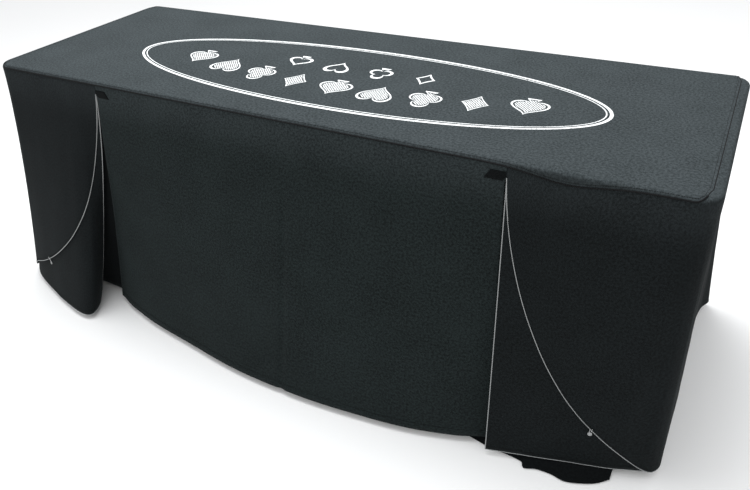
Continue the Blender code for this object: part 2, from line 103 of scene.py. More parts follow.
# How far round the shoulder the top panel's seam lies; less than 0 is on the flat top
SEAM_FRONT, SEAM_BACK, SEAM_RIGHT, SEAM_LEFT = 0.011, 0.011, -0.011, -0.006
SEAM_DIP, SEAM_DIP_X, SEAM_DIP_WIDTH = 0.015, 0.655, 0.080
TOP_PROUD = 0.0006
# The seam cord stands for the folded seam allowance. Its width and near-black thread also draw the seam
# groove's shadow as a painted dark line
SEAM_SHADOW_CORD_RADIUS = 0.0015
TUCK_UNDER = 0.0016
TUCK_LENGTH = 0.005
LAST_STATION = 5
END_GAP = 2e-3
# Painted light in a band below the rim: how strong it is on the ends and on the skirts, and how far down it
# reaches
END_RIM_LIGHT, SKIRT_RIM_LIGHT = 0.20, 0.36
RIM_LIGHT_DEPTH = 0.120

# Hem of each end panel, from its front slit round the end to its back slit.
# Stations 0-1 run to the front corner, 1-2 round it, 2-3 along the end, 3-4 and 4-5 back.
RIGHT_HEM = (
    (0.0, 0.568, -0.400), (0.5, 0.706, -0.364), (1.0, 0.846, -0.324),
    (1.5, 0.918, -0.288), (2.0, 0.927, -0.215), (2.5, 0.930, 0.000),
    (3.0, 0.930, 0.262), (3.3, 0.936, 0.335), (3.5, 0.953, 0.378),
    (3.75, 0.912, 0.390), (4.0, 0.862, 0.388), (4.5, 0.720, 0.394), (5.0, 0.556, 0.384),
)
LEFT_HEM = (
    (0.0, -0.708, -0.340), (0.12, -0.658, -0.396), (0.22, -0.642, -0.440),
    (0.34, -0.672, -0.460), (0.55, -0.770, -0.442), (0.8, -0.890, -0.406),
    (1.0, -0.974, -0.372), (1.5, -1.032, -0.322), (2.0, -1.040, -0.245),
    (2.5, -1.024, 0.000), (3.0, -1.006, 0.250), (3.5, -0.982, 0.332),
    (4.0, -0.900, 0.376), (4.5, -0.740, 0.392), (5.0, -0.552, 0.384),
)

# Kick pleats behind the slits: face, x span, hem flares, hem height, seed of the folds
GUSSET_TOP_Z = 0.664
GUSSETS = {
    "front_left": (-1, -0.800, -0.450, (0.014, 0.018, 0.030, 0.058), 0.016, 17.0),
    "front_right": (-1, 0.455, 0.836, (0.062, 0.056, 0.046, 0.014), 0.004, 18.7),
    "back_left": (1, -0.800, -0.450, (0.014, 0.024, 0.040, 0.052), 0.016, 15.3),
    "back_right": (1, 0.450, 0.800, (0.052, 0.040, 0.024, 0.014), 0.016, 17.0),
}
# Where the front right pleat slides out over the floor below the flap's hem: X and Y
PLEAT_FOOT = (
    (0.455, -0.350), (0.560, -0.372), (0.651, -0.380), (0.655, -0.394), (0.685, -0.385),
    (0.720, -0.384), (0.744, -0.389), (0.765, -0.385), (0.795, -0.373), (0.815, -0.361), (0.836, -0.341),
)
PLEAT_SLIDE_Z = 0.022
PLEAT_FLOOR_Z = 0.0042
BINDING_RADIUS = 0.0011
BUTTON_STATION = 0.74
BUTTON_BELOW_EDGE = 0.024
BUTTON_RADIUS = 0.005
STITCH_SPACING = 0.0042
STITCH_RADIUS = 0.00042

# Printed emblem on the top: a plain double-lined oval round rows of card suits
OVAL_CENTRE = (0.037, -0.035)
OVAL_RADII = (0.635, 0.192)
ROWS_X = 0.052
LARGE_SUIT, LARGE_SUIT_STEP, LARGE_ROW_Y, LARGE_ROW_ARCH = 0.086, 0.112, -0.107, 0.30
SMALL_SUIT, SMALL_SUIT_STEP, SMALL_ROW_Y, SMALL_ROW_ARCH = 0.068, 0.118, 0.012, 0.15


# ---------------------------------------------------------------- small helpers

def srgb(hex_colour):
    """A linear colour from an sRGB hex value such as "#2e3133"."""
    values = [int(hex_colour[i:i + 2], 16) / 255 for i in (1, 3, 5)]
    return (*(v / 12.92 if v <= 0.04045 else ((v + 0.055) / 1.055) ** 2.4 for v in values), 1.0)


def add_node(tree, kind, inputs=None, **settings):
    """Adds a node. An input is a value or a socket to link from."""
    made = tree.nodes.new(kind)
    for key, value in settings.items():
        setattr(made, key, value)
    for key, value in (inputs or {}).items():
        if isinstance(value, bpy.types.NodeSocket):
            tree.links.new(value, made.inputs[key])
        else:
            made.inputs[key].default_value = value
    return made


def new_material(name, roughness, metallic=0.0, **sockets):
    """A material, add_node for its tree, and its shader. Sockets are values that stay the same all over."""
    made = bpy.data.materials.new(name)
    made.use_nodes = True
    shader = made.node_tree.nodes["Principled BSDF"]
    shader.inputs["Roughness"].default_value = roughness
    shader.inputs["Metallic"].default_value = metallic
    for key, value in sockets.items():
        shader.inputs[key.replace("_", " ")].default_value = value
    return made, partial(add_node, made.node_tree), shader


def blend_colours(node, factor, first, second):
    mix = node("ShaderNodeMix", {"Factor": factor}, data_type="RGBA")
    for key, value in (("A_Color", first), ("B_Color", second)):
        socket = next(s for s in mix.inputs if s.identifier == key)
        if isinstance(value, bpy.types.NodeSocket):
            mix.id_data.links.new(value, socket)
        else:
            socket.default_value = value
    return next(s for s in mix.outputs if s.identifier == "Result_Color")


def connect(source, shader, key):
    shader.id_data.links.new(source, shader.inputs[key])


def colour_and_bump(node, shader, colour, height, strength, distance):
    """Links the shader to its colour and to the relief that the height gives."""
    connect(colour, shader, "Base Color")
    bump = node("ShaderNodeBump", {"Height": height, "Strength": strength, "Distance": distance})
    connect(bump.outputs["Normal"], shader, "Normal")


# ---------------------------------------------------------------- materials

WAVE_PERIOD = math.pi / 10
THREAD_SPACING = 0.0016
SLUB_SIZE = 0.0052
HATCH_SPACING = 0.0036
# Painted light: the paler tones that upward faces and the band below the rim are painted with
PAINTED_LIT_DARK, PAINTED_LIT_LIGHT = "#1d2223", "#3f4547"


def woven_polyester(name, dark, light, painted_lit_dark=PAINTED_LIT_DARK, painted_lit_light=PAINTED_LIT_LIGHT):
    """Piece-dyed woven polyester canvas: matte and faintly heathered, because its spun threads
    take the dye unevenly. Upward faces and a band below the rim get painted light: a paler tone
    of the same cloth. The slubs are drawn 5 mm long, coarser than real, so that they show."""
    made, node, shader = new_material(
        name, 0.9, Sheen_Weight=0.05, Sheen_Roughness=0.5, Specular_IOR_Level=0.08
    )
    shader.inputs["Sheen Tint"].default_value = srgb("#8d9698")
    cloth = node("ShaderNodeUVMap", uv_map="Cloth").outputs["UV"]
    thread = WAVE_PERIOD / THREAD_SPACING
    warp, weft = (
        node("ShaderNodeTexWave", {"Vector": cloth, "Scale": thread, "Distortion": 0.6, "Detail": 1.0},
             bands_direction=way)
        for way in ("X", "Y")
    )
    weave = node("ShaderNodeMath", {0: warp.outputs["Fac"], 1: weft.outputs["Fac"]}, operation="MULTIPLY")
    slub = node("ShaderNodeTexNoise",
                {"Vector": cloth, "Scale": 1 / SLUB_SIZE, "Detail": 2.0, "Roughness": 0.75})
    cloud = node("ShaderNodeTexNoise", {"Vector": cloth, "Scale": 7.0, "Detail": 4.0, "Roughness": 0.6})
    heather = node("ShaderNodeMapRange", {0: slub.outputs["Fac"], 1: 0.38, 2: 0.62, 3: 0.0, 4: 0.7})
    shade = node("ShaderNodeMath",
                 {0: cloud.outputs["Fac"], 1: 0.6, 2: heather.outputs[0]}, operation="MULTIPLY_ADD")
    base_tone = blend_colours(node, shade.outputs[0], srgb(dark), srgb(light))
    painted_lit = blend_colours(node, shade.outputs[0], srgb(painted_lit_dark), srgb(painted_lit_light))
    # Share of painted light: upward faces and the band below the rim take the paler tones
    painted_light_share = node("ShaderNodeAttribute", attribute_name="Faded").outputs["Fac"]
    height = node("ShaderNodeMath",
                  {0: weave.outputs[0], 1: 0.6, 2: heather.outputs[0]}, operation="MULTIPLY_ADD")
    colour = blend_colours(node, painted_light_share, base_tone, painted_lit)
    colour_and_bump(node, shader, colour, height.outputs[0], 0.3, 0.0006)
    return made


def screen_print(name, thin, full):
    """Plastisol ink screen-printed on cloth: flat and matte, thin where the weave shows through."""
    made, node, shader = new_material(name, 0.6, Specular_IOR_Level=0.3)
    place = node("ShaderNodeTexCoord").outputs["Object"]
    worn = node("ShaderNodeTexNoise", {"Vector": place, "Scale": 260.0, "Detail": 3.0, "Roughness": 0.75})
    gaps = node("ShaderNodeMapRange", {0: worn.outputs["Fac"], 1: 0.36, 2: 0.47})
    colour = blend_colours(node, gaps.outputs[0], srgb(thin), srgb(full))
    colour_and_bump(node, shader, colour, worn.outputs["Fac"], 0.3, 0.0003)
    return made


def hatched_print(name, bare, full):
    """Screen-printed ink laid down in slanting strokes, with the cloth showing between them."""
    made, node, shader = new_material(name, 0.6, Specular_IOR_Level=0.3)
    place = node("ShaderNodeTexCoord").outputs["Object"]
    strokes = node("ShaderNodeTexWave",
                   {"Vector": place, "Scale": WAVE_PERIOD / HATCH_SPACING, "Distortion": 2.5, "Detail": 2.0},
                   bands_direction="DIAGONAL")
    cover = node("ShaderNodeMapRange", {0: strokes.outputs["Fac"], 1: 0.22, 2: 0.60})
    colour = blend_colours(node, cover.outputs[0], srgb(bare), srgb(full))
    colour_and_bump(node, shader, colour, cover.outputs[0], 0.3, 0.0003)
    return made


def thread_cord(name, dark, light, sheen=0.2, pitch=0.0015):
    """Spun polyester thread wound over an edge: soft, with fine slanting turns."""
    made, node, shader = new_material(name, 0.7, Sheen_Weight=sheen, Specular_IOR_Level=0.15)
    place = node("ShaderNodeTexCoord").outputs["Object"]
    turns = node("ShaderNodeTexWave",
                 {"Vector": place, "Scale": WAVE_PERIOD / pitch, "Distortion": 1.0},
                 bands_direction="DIAGONAL")
    colour = blend_colours(node, turns.outputs["Fac"], srgb(dark), srgb(light))
    colour_and_bump(node, shader, colour, turns.outputs["Fac"], 0.4, 0.0003)
    return made


def powder_coat(name, dark, light):
    """Black polyester powder coat baked on steel: satin, with a fine orange peel."""
    made, node, shader = new_material(name, 0.42, IOR=1.5, Coat_Weight=0.15, Coat_Roughness=0.3)
    place = node("ShaderNodeTexCoord").outputs["Object"]
    peel = node("ShaderNodeTexNoise", {"Vector": place, "Scale": 900.0, "Detail": 2.0})
    scuff = node("ShaderNodeTexNoise", {"Vector": place, "Scale": 18.0, "Detail": 6.0, "Roughness": 0.7})
    worn = node("ShaderNodeMapRange", {0: scuff.outputs["Fac"], 1: 0.45, 2: 0.75})
    rough = node("ShaderNodeMapRange", {0: scuff.outputs["Fac"], 3: 0.34, 4: 0.55})
    connect(rough.outputs[0], shader, "Roughness")
    colour = blend_colours(node, worn.outputs[0], srgb(dark), srgb(light))
    colour_and_bump(node, shader, colour, peel.outputs["Fac"], 0.2, 0.0002)
    return made


def zinc_plate(name):
    """Bright zinc plate on pressed steel: silvery with a faint blue, rolled along its length."""
    made, node, shader = new_material(name, 0.32, metallic=1.0)
    place = node("ShaderNodeTexCoord").outputs["Object"]
    stretched = node("ShaderNodeMapping", {"Vector": place, "Scale": (60.0, 900.0, 900.0)})
    rolled = node("ShaderNodeTexNoise", {"Vector": stretched.outputs[0], "Scale": 1.0, "Detail": 3.0})
    cloud = node("ShaderNodeTexNoise", {"Vector": place, "Scale": 60.0, "Detail": 4.0})
    rough = node("ShaderNodeMapRange", {0: rolled.outputs["Fac"], 3: 0.24, 4: 0.42})
    connect(rough.outputs[0], shader, "Roughness")
    silver = blend_colours(node, cloud.outputs["Fac"], srgb("#a9aeb4"), srgb("#d3d6da"))
    colour_and_bump(node, shader, silver, rolled.outputs["Fac"], 0.15, 0.0002)
    return made


def birch_plywood(name):
    """Sealed birch plywood: pale wood with long soft figure, and its plies across the edge."""
    made, node, shader = new_material(name, 0.45, Coat_Weight=0.2, Coat_Roughness=0.25)
    place = node("ShaderNodeTexCoord").outputs["Object"]
    along = node("ShaderNodeMapping", {"Vector": place, "Scale": (1.2, 14.0, 60.0)})
    figure = node("ShaderNodeTexNoise",
                  {"Vector": along.outputs[0], "Scale": 1.6, "Detail": 6.0, "Distortion": 0.8})
    fibre = node("ShaderNodeMapping", {"Vector": place, "Scale": (25.0, 900.0, 900.0)})
    pores = node("ShaderNodeTexNoise", {"Vector": fibre.outputs[0], "Scale": 1.0, "Detail": 2.0})
    base = blend_colours(node, figure.outputs["Fac"], srgb("#b98d5b"), srgb("#e0c193"))
    pore = node("ShaderNodeMapRange", {0: pores.outputs["Fac"], 1: 0.3, 2: 0.55, 3: 0.35, 4: 0.0})
    wood = blend_colours(node, pore.outputs[0], base, srgb("#8a6237"))
    colour_and_bump(node, shader, wood, pores.outputs["Fac"], 0.2, 0.0003)
    return made


def card_felt(name):
    """Worsted gaming cloth, napped and pressed: deep green, fuzzy at a glancing angle."""
    made, node, shader = new_material(
        name, 0.95, Sheen_Weight=0.6, Sheen_Roughness=0.4, Specular_IOR_Level=0.15
    )
    shader.inputs["Sheen Tint"].default_value = srgb("#7fae8b")
    place = node("ShaderNodeTexCoord").outputs["Object"]
    nap = node("ShaderNodeTexNoise", {"Vector": place, "Scale": 650.0, "Detail": 3.0, "Roughness": 0.8})
    brushed = node("ShaderNodeTexNoise", {"Vector": place, "Scale": 9.0, "Detail": 5.0})
    mixed = node("ShaderNodeMath", {0: nap.outputs["Fac"], 1: brushed.outputs["Fac"]}, operation="MULTIPLY")
    spread = node("ShaderNodeMapRange", {0: mixed.outputs[0], 1: 0.12, 2: 0.42})
    green = blend_colours(node, spread.outputs[0], srgb("#0c4a26"), srgb("#1c6e3c"))
    colour_and_bump(node, shader, green, nap.outputs["Fac"], 0.4, 0.0005)
    return made


def grained_moulding(name, dark, light, roughness, grain):
    """Moulded rubber or plastic: matte, finely grained by the mould."""
    made, node, shader = new_material(name, roughness, Specular_IOR_Level=0.4)
    place = node("ShaderNodeTexCoord").outputs["Object"]
    pits = node("ShaderNodeTexVoronoi", {"Vector": place, "Scale": 1 / grain})
    dust = node("ShaderNodeTexNoise", {"Vector": place, "Scale": 40.0, "Detail": 5.0})
    colour = blend_colours(node, dust.outputs["Fac"], srgb(dark), srgb(light))
    colour_and_bump(node, shader, colour, pits.outputs["Distance"], 0.25, 0.0002)
    return made


# One black cloth in lit and shaded copies: the top is painted lighter and the sides darker, the ends darker
# still, and the pleats behind the slits darkest. These are painted light and shade, not different cloths
TOP_CLOTH = woven_polyester("charcoal_woven_polyester_top", "#16191a", "#272c2d")
SIDE_CLOTH = woven_polyester("black_woven_polyester_side", "#070909", "#1f2626")
END_CLOTH = woven_polyester("black_woven_polyester_ends", "#050606", "#161a1b")
PLEAT_CLOTH = woven_polyester("black_woven_polyester_pleats", "#050606", "#0f1213", "#060708", "#0f1213")
# Painted shade: the loop tape is darker than the cloth and gets no painted light, to draw the shadowed tuck
# at each slit's top
LOOP_TAPE_PAINTED_SHADE = woven_polyester("black_nylon_loop_tape", "#030404", "#0b0d0e", "#030404", "#0b0d0e")
INK = screen_print("white_screen_print_ink", "#8d9192", "#eceeed")
# The bare colour between the hatched strokes is the top cloth's painted light tone
HATCHED_INK = hatched_print("white_hatched_print_ink", "#2b3031", "#dfe1e0")
LAYOUT_INK = screen_print("cream_layout_print", "#b9b08a", "#efe6c3")
EDGE_BINDING = thread_cord("light_grey_overlock_thread", "#6d7070", "#a6a8a7")
BLACK_THREAD = thread_cord("black_sewing_thread", "#020202", "#07080a", 0.0)
LOOP_CORD = thread_cord("pale_elastic_cord", "#8b8d8d", "#c4c6c5")
POWDER = powder_coat("black_powder_coated_steel", "#1d1f21", "#2b2e30")
ZINC = zinc_plate("bright_zinc_plated_steel")
PLYWOOD = birch_plywood("sealed_birch_plywood")
FELT = card_felt("green_worsted_card_cloth")
FOAM = grained_moulding("closed_cell_foam", "#2a2b2d", "#3a3b3d", 0.9, 0.0012)
EDGE_TRIM = grained_moulding("extruded_black_pvc", "#161718", "#242527", 0.45, 0.0010)
RUBBER = grained_moulding("moulded_black_rubber", "#131313", "#222222", 0.75, 0.0008)
BUTTON_PLASTIC = grained_moulding("moulded_grey_nylon", "#7c7e7e", "#a4a6a6", 0.4, 0.0008)


# ---------------------------------------------------------------- cover surfaces

def smooth_through(knots, at):
    """A smooth curve through knots, each a parameter followed by its values."""
    last = len(knots) - 1
    i = next((k for k in range(last) if at <= knots[k + 1][0]), last - 1)
    before, start, end, after = (knots[max(0, min(last, k))] for k in (i - 1, i, i + 1, i + 2))
    span = end[0] - start[0]
    t = (at - start[0]) / span
    values = []
    for a, p, q, b in zip(before[1:], start[1:], end[1:], after[1:]):
        slope_p = (q - a) / max(end[0] - before[0], span) * span
        slope_q = (b - p) / max(after[0] - start[0], span) * span
        values.append(
            (2 * t**3 - 3 * t**2 + 1) * p + (t**3 - 2 * t**2 + t) * slope_p
            + (3 * t**2 - 2 * t**3) * q + (t**3 - t**2) * slope_q
        )
    return values


def evenly(values, first=0.0, last=1.0):
    steps = len(values) - 1
    return [(first + (last - first) * i / steps, value) for i, value in enumerate(values)]


def ease(low, high, value):
    t = min(1.0, max(0.0, (value - low) / (high - low)))
    return t * t * (3 - 2 * t)


def drop_share(z, hem_z=HEM_Z):
    return max(0.0, (SEAM_Z - z) / (SEAM_Z - hem_z))


def shoulder(travel):
    """Inset from the side's plane and height, at that travel from the top seam."""
    turn = travel / SHOULDER_RADIUS
    if travel < 0:
        return SHOULDER_RADIUS - travel, SHOULDER_Z
    if turn < math.pi / 2:
        return SHOULDER_RADIUS * (1 - math.sin(turn)), SHOULDER_Z - SHOULDER_RADIUS * (1 - math.cos(turn))
    return 0.0, SHOULDER_Z - SHOULDER_RADIUS - (travel - SHOULDER_RADIUS * math.pi / 2)


SHOULDER_TRAVEL = SHOULDER_RADIUS * math.pi / 2
FULL_TRAVEL = SHOULDER_TRAVEL + SHOULDER_Z - SHOULDER_RADIUS - HEM_Z


def seam_travel(place):
    """Where the top panel's seam runs near that point of the rim."""
    front = SEAM_FRONT + SEAM_DIP * math.exp(-(((place.x - SEAM_DIP_X) / SEAM_DIP_WIDTH) ** 2))
    long_side = front + (SEAM_BACK - front) * ease(-0.1, 0.1, place.y)
    end = SEAM_RIGHT if place.x > 0 else SEAM_LEFT
    straight = COVER_HALF_LENGTH - COVER_CORNER_RADIUS
    return long_side + (end - long_side) * ease(straight, COVER_HALF_LENGTH, abs(place.x))


def under_seam(travel, seam):
    """How far a side panel lies inside its own surface where the top panel covers its edge."""
    return TUCK_UNDER * (1 - ease(seam, seam + 0.010, travel))


BROAD_FOLD, NARROW_FOLD, SLACK_FOLD = 0.0080, 0.0022, 0.0007


def soft_folds(along, z, seed, size=1.0):
    """How far cloth stands out of its smooth surface: broad, upright, deeper towards the hem."""
    v = drop_share(z)
    broad = noise.noise(Vector((along * 2.6, z * 0.9, seed)))
    narrow = noise.noise(Vector((along * 8.0 + z, z * 1.6, seed + 7.3)))
    slack = noise.noise(Vector((along * 13.0, z * 12.0, seed + 3.1)))
    stand = BROAD_FOLD * broad * v + NARROW_FOLD * narrow * v**0.7
    stand += SLACK_FOLD * slack * ease(0.0, 0.1, v)
    return size * stand * (1 - 0.5 * ease(0.75, 1.0, v))


def top_outline(side, slits, station, layer):
    """A point on an end panel's top edge: side is -1 at the left end and 1 at the right."""
    radius = COVER_CORNER_RADIUS + layer
    x, y = COVER_HALF_LENGTH + layer, COVER_HALF_WIDTH + layer
    straight_x, straight_y = x - radius, y - radius

    def corner(across, up):
        return Vector((side * (straight_x + radius * across), math.copysign(straight_y, up) + radius * up))

    if station <= 1:
        return Vector((slits[0] + (side * straight_x - slits[0]) * station, -y))
    if station <= 2:
        angle = (station - 1) * math.pi / 2
        return corner(math.sin(angle), -math.cos(angle))
    if station <= 3:
        return Vector((side * x, -straight_y + 2 * straight_y * (station - 2)))
    if station <= 4:
        angle = (station - 3) * math.pi / 2
        return corner(math.cos(angle), math.sin(angle))
    return Vector((side * straight_x + (slits[1] - side * straight_x) * (station - 4), y))


class EndCloth:
    """The cloth surface that wraps one end of the table, between its front and back slits."""

    def __init__(self, side, slits, hem, seed):
        self.side = side
        self.slits = slits
        self.hem = hem
        self.seed = seed

    def smooth(self, station, travel):
        inset, z = shoulder(travel)
        top = top_outline(self.side, self.slits, station, OUTER_LAYER - inset)
        flat = top.lerp(Vector(smooth_through(self.hem, station)), drop_share(z) ** FLARE_POWER)
        return Vector((flat.x, flat.y, z))

    def outward(self, station, travel):
        step = 1e-3
        along = self.smooth(station + step, travel) - self.smooth(station - step, travel)
        down = self.smooth(station, travel + step) - self.smooth(station, max(0.0, travel - step))
        return (down.cross(along) * self.side).normalized()

    def point(self, station, travel, depth=0.0):
        """A point that lies depth inside the outer layer, with the cloth's soft folds."""
        station = min(max(station, END_GAP), LAST_STATION - END_GAP)
        base = self.smooth(station, travel)
        folds = soft_folds(station, base.z, self.seed, 0.6)
        depth += under_seam(travel, self.seam(station))
        return CENTRE + base + self.outward(station, travel) * (folds - depth)

    def seam(self, station):
        return seam_travel(top_outline(self.side, self.slits, station, OUTER_LAYER))

    def edge_drop(self, station):
        along = min(station, LAST_STATION - station) / CURVE_END_STATION
        if along >= 1:
            return 1.0
        drop = (1 - (1 - along) ** CURVE_POWER) ** (1 / CURVE_POWER)
        return max(drop, SLIT_HEIGHT / (SEAM_Z - HEM_Z))

    def edge_travel(self, station):
        """Travel from the top seam to the curved or straight lower edge."""
        z = SEAM_Z + (HEM_Z - SEAM_Z) * self.edge_drop(station)
        return SHOULDER_TRAVEL + SHOULDER_Z - SHOULDER_RADIUS - z


def curve_stations(steps, last):
    """Stations from a slit up to last, close together where the curved edge is steep."""
    stations = []
    for i in range(steps):
        angle = math.pi / 2 * i / steps
        stations.append(CURVE_END_STATION * (1 - math.cos(angle) ** (2 / CURVE_POWER)))
    return [station for station in stations if station < last]


FLAP_FRONT = curve_stations(70, 0.995)
CORNER = [1 + i / 24 for i in range(25)]
CLOTH_ROWS = 76


def travels_down(first, last, rows=CLOTH_ROWS):
    """Travels down a cloth from first to last, close together round the shoulder."""
    return [first + (last - first) * (i / rows) ** 1.5 for i in range(rows + 1)]


# ---------------------------------------------------------------- making pieces

def new_piece(name, mesh, finish, smooth=True):
    obj = bpy.data.objects.new(name, mesh)
    bpy.context.scene.collection.objects.link(obj)
    if finish:
        mesh.materials.append(finish)
    if smooth:
        mesh.shade_smooth()
    return obj


def attach(obj, body):
    """Parents a piece to the empty of the body that it moves with."""
    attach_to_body(obj, body)


def mesh_of(bm, name):
    mesh = bpy.data.meshes.new(name)
    bm.to_mesh(mesh)
    bm.free()
    return mesh


def join_rings(bm, rings):
    """Faces between each closed ring of points and the next."""
    for first, second in zip(rings, rings[1:]):
        for i in range(len(first)):
            j = (i + 1) % len(first)
            bm.faces.new((first[i], first[j], second[j], second[i]))


def turn_up(bm):
    """Makes an open, level sheet face up."""
    bmesh.ops.recalc_face_normals(bm, faces=bm.faces)
    if sum(face.normal.z for face in bm.faces) < 0:
        bmesh.ops.reverse_faces(bm, faces=bm.faces)


def grid_mesh(name, points, rim_light=END_RIM_LIGHT):
    """A sheet from rows of points, with a UV map in metres along and across the cloth."""
    grid = np.array([[list(p) for p in row] for row in points])
    rows, columns = grid.shape[:2]
    across = np.linalg.norm(np.diff(grid, axis=1), axis=2)
    down = np.linalg.norm(np.diff(grid, axis=0), axis=2)
    u = np.concatenate([[0.0], np.cumsum(across.mean(axis=0))])
    v = np.concatenate([np.zeros((1, columns)), np.cumsum(down, axis=0)])
    bm = bmesh.new()
    layer = bm.loops.layers.uv.new("Cloth")
    verts = [bm.verts.new(p) for p in grid.reshape(-1, 3)]
    for r in range(rows - 1):
        for c in range(columns - 1):
            corners = ((r, c), (r + 1, c), (r + 1, c + 1), (r, c + 1))
            face = bm.faces.new([verts[i * columns + j] for i, j in corners])
            for loop, (i, j) in zip(face.loops, corners):
                loop[layer].uv = (u[j], -v[i, j])
    bm.normal_update()
    middle = Vector((CENTRE.x, CENTRE.y, 0))
    facing = sum(f.normal.dot((f.calc_center_median() - middle)) * f.calc_area() for f in bm.faces)
    if facing < 0:
        bmesh.ops.reverse_faces(bm, faces=bm.faces)
    mesh = mesh_of(bm, name)
    mark_painted_light(mesh, rim_light)
    return mesh


def mark_painted_light(mesh, rim_light=END_RIM_LIGHT):
    """Notes on each point how much painted light its colour takes: most where it faces up, and a little
    in a band below the table's rim."""
    marks = mesh.attributes.new("Faded", "FLOAT", "POINT")
    for item, vert in zip(marks.data, mesh.vertices):
        # Painted light: the band below the rim, and faces that turn up, are marked to be painted paler
        rim_lit = rim_light * ease(TOP_Z - RIM_LIGHT_DEPTH, TOP_Z - SHOULDER_RADIUS, vert.co.z)
        item.value = max(rim_lit, ease(0.25, 0.90, vert.normal.z))


def give_thickness(obj, thickness=CLOTH):
    wall = obj.modifiers.new("Thickness", "SOLIDIFY")
    wall.thickness = thickness
    wall.offset = -1.0


def hung_cloth(label, rows, finish, part, rim_light=END_RIM_LIGHT):
    """A cloth sheet through rows of points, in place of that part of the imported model."""
    obj = new_piece(label, grid_mesh(label, rows, rim_light), finish)
    give_thickness(obj)
    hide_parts(part)
    return obj


def polyline_mesh(name, points):
    mesh = bpy.data.meshes.new(name)
    mesh.from_pydata([tuple(p) for p in points], [(i, i + 1) for i in range(len(points) - 1)], [])
    return mesh


def geometry_tree(name, sockets):
    """add_node for a new tree with the named inputs, and the tree's input and output nodes."""
    tree = bpy.data.node_groups.new(name, "GeometryNodeTree")
    tree.interface.new_socket("Geometry", in_out="INPUT", socket_type="NodeSocketGeometry")
    for label, kind in sockets:
        tree.interface.new_socket(label, in_out="INPUT", socket_type=kind)
    tree.interface.new_socket("Geometry", in_out="OUTPUT", socket_type="NodeSocketGeometry")
    node = partial(add_node, tree)
    return node, node("NodeGroupInput"), node("NodeGroupOutput")


def end_tree(node, given, result, shape):
    """Ends a tree: realizes the shape's instances and gives it the finish, so that both outlast it."""
    real = node("GeometryNodeRealizeInstances", {"Geometry": shape})
    done = node("GeometryNodeSetMaterial", {"Geometry": real.outputs[0], "Material": given.outputs["Finish"]})
    connect(done.outputs[0], result, "Geometry")
    return result.id_data


def bound_edge_tree():
    """A round binding along a polyline."""
    node, given, result = geometry_tree(
        "bound_edge",
        (("Radius", "NodeSocketFloat"), ("Sides", "NodeSocketInt"), ("Finish", "NodeSocketMaterial")),
    )
    line = node("GeometryNodeMeshToCurve", {"Mesh": given.outputs["Geometry"]})
    ring = node("GeometryNodeCurvePrimitiveCircle",
                {"Radius": given.outputs["Radius"], "Resolution": given.outputs["Sides"]})
    swept = node("GeometryNodeCurveToMesh",
                 {"Curve": line.outputs[0], "Profile Curve": ring.outputs[0], "Fill Caps": True})
    return end_tree(node, given, result, swept.outputs[0])


def stitch_run_tree():
    """Short threads laid end to end along a polyline, with a gap between them."""
    node, given, result = geometry_tree(
        "stitch_run",
        (("Spacing", "NodeSocketFloat"), ("Length", "NodeSocketFloat"), ("Radius", "NodeSocketFloat"),
         ("Finish", "NodeSocketMaterial")),
    )
    line = node("GeometryNodeMeshToCurve", {"Mesh": given.outputs["Geometry"]})
    spots = node("GeometryNodeResampleCurve",
                 {"Curve": line.outputs[0], "Length": given.outputs["Spacing"]}, mode="LENGTH")
    thread = node("GeometryNodeMeshCylinder",
                  {"Vertices": 6, "Radius": given.outputs["Radius"], "Depth": given.outputs["Length"]})
    tangent = node("GeometryNodeInputTangent")
    turn = node("FunctionNodeAlignRotationToVector", {"Vector": tangent.outputs[0]}, axis="Z")
    sewn = node("GeometryNodeInstanceOnPoints",
                {"Points": spots.outputs[0], "Instance": thread.outputs["Mesh"], "Rotation": turn.outputs[0]})
    return end_tree(node, given, result, sewn.outputs[0])


def grown(name, seed_mesh, tree, **inputs):
    """What a node tree grows on a mesh of points, as a plain smooth object."""
    carrier = new_piece(name + "_carrier", seed_mesh, None, smooth=False)
    modifier = carrier.modifiers.new("Grow", "NODES")
    modifier.node_group = tree
    for item in tree.interface.items_tree:
        if item.in_out == "INPUT" and item.name in inputs:
            modifier[item.identifier] = inputs[item.name]
    graph = bpy.context.evaluated_depsgraph_get()
    mesh = bpy.data.meshes.new_from_object(carrier.evaluated_get(graph))
    mesh.name = name
    bpy.data.objects.remove(carrier)
    return new_piece(name, mesh, None)


BOUND_EDGE = bound_edge_tree()
STITCH_RUN = stitch_run_tree()


def binding(name, points, body, finish=EDGE_BINDING, radius=BINDING_RADIUS, sides=8):
    line = polyline_mesh(name + "_line", points)
    attach(grown(name, line, BOUND_EDGE, Radius=radius, Sides=sides, Finish=finish), body)


def stitches(name, points, body):
    """A run of stitches, each 0.72 of the spacing long."""
    line = polyline_mesh(name + "_line", points)
    sewn = grown(name, line, STITCH_RUN, Spacing=STITCH_SPACING, Length=STITCH_SPACING * 0.72,
                 Radius=STITCH_RADIUS, Finish=BLACK_THREAD)
    attach(sewn, body)


def row_length(row):
    return sum((b - a).length for a, b in zip(row, row[1:]))


# ---------------------------------------------------------------- the cover's pieces

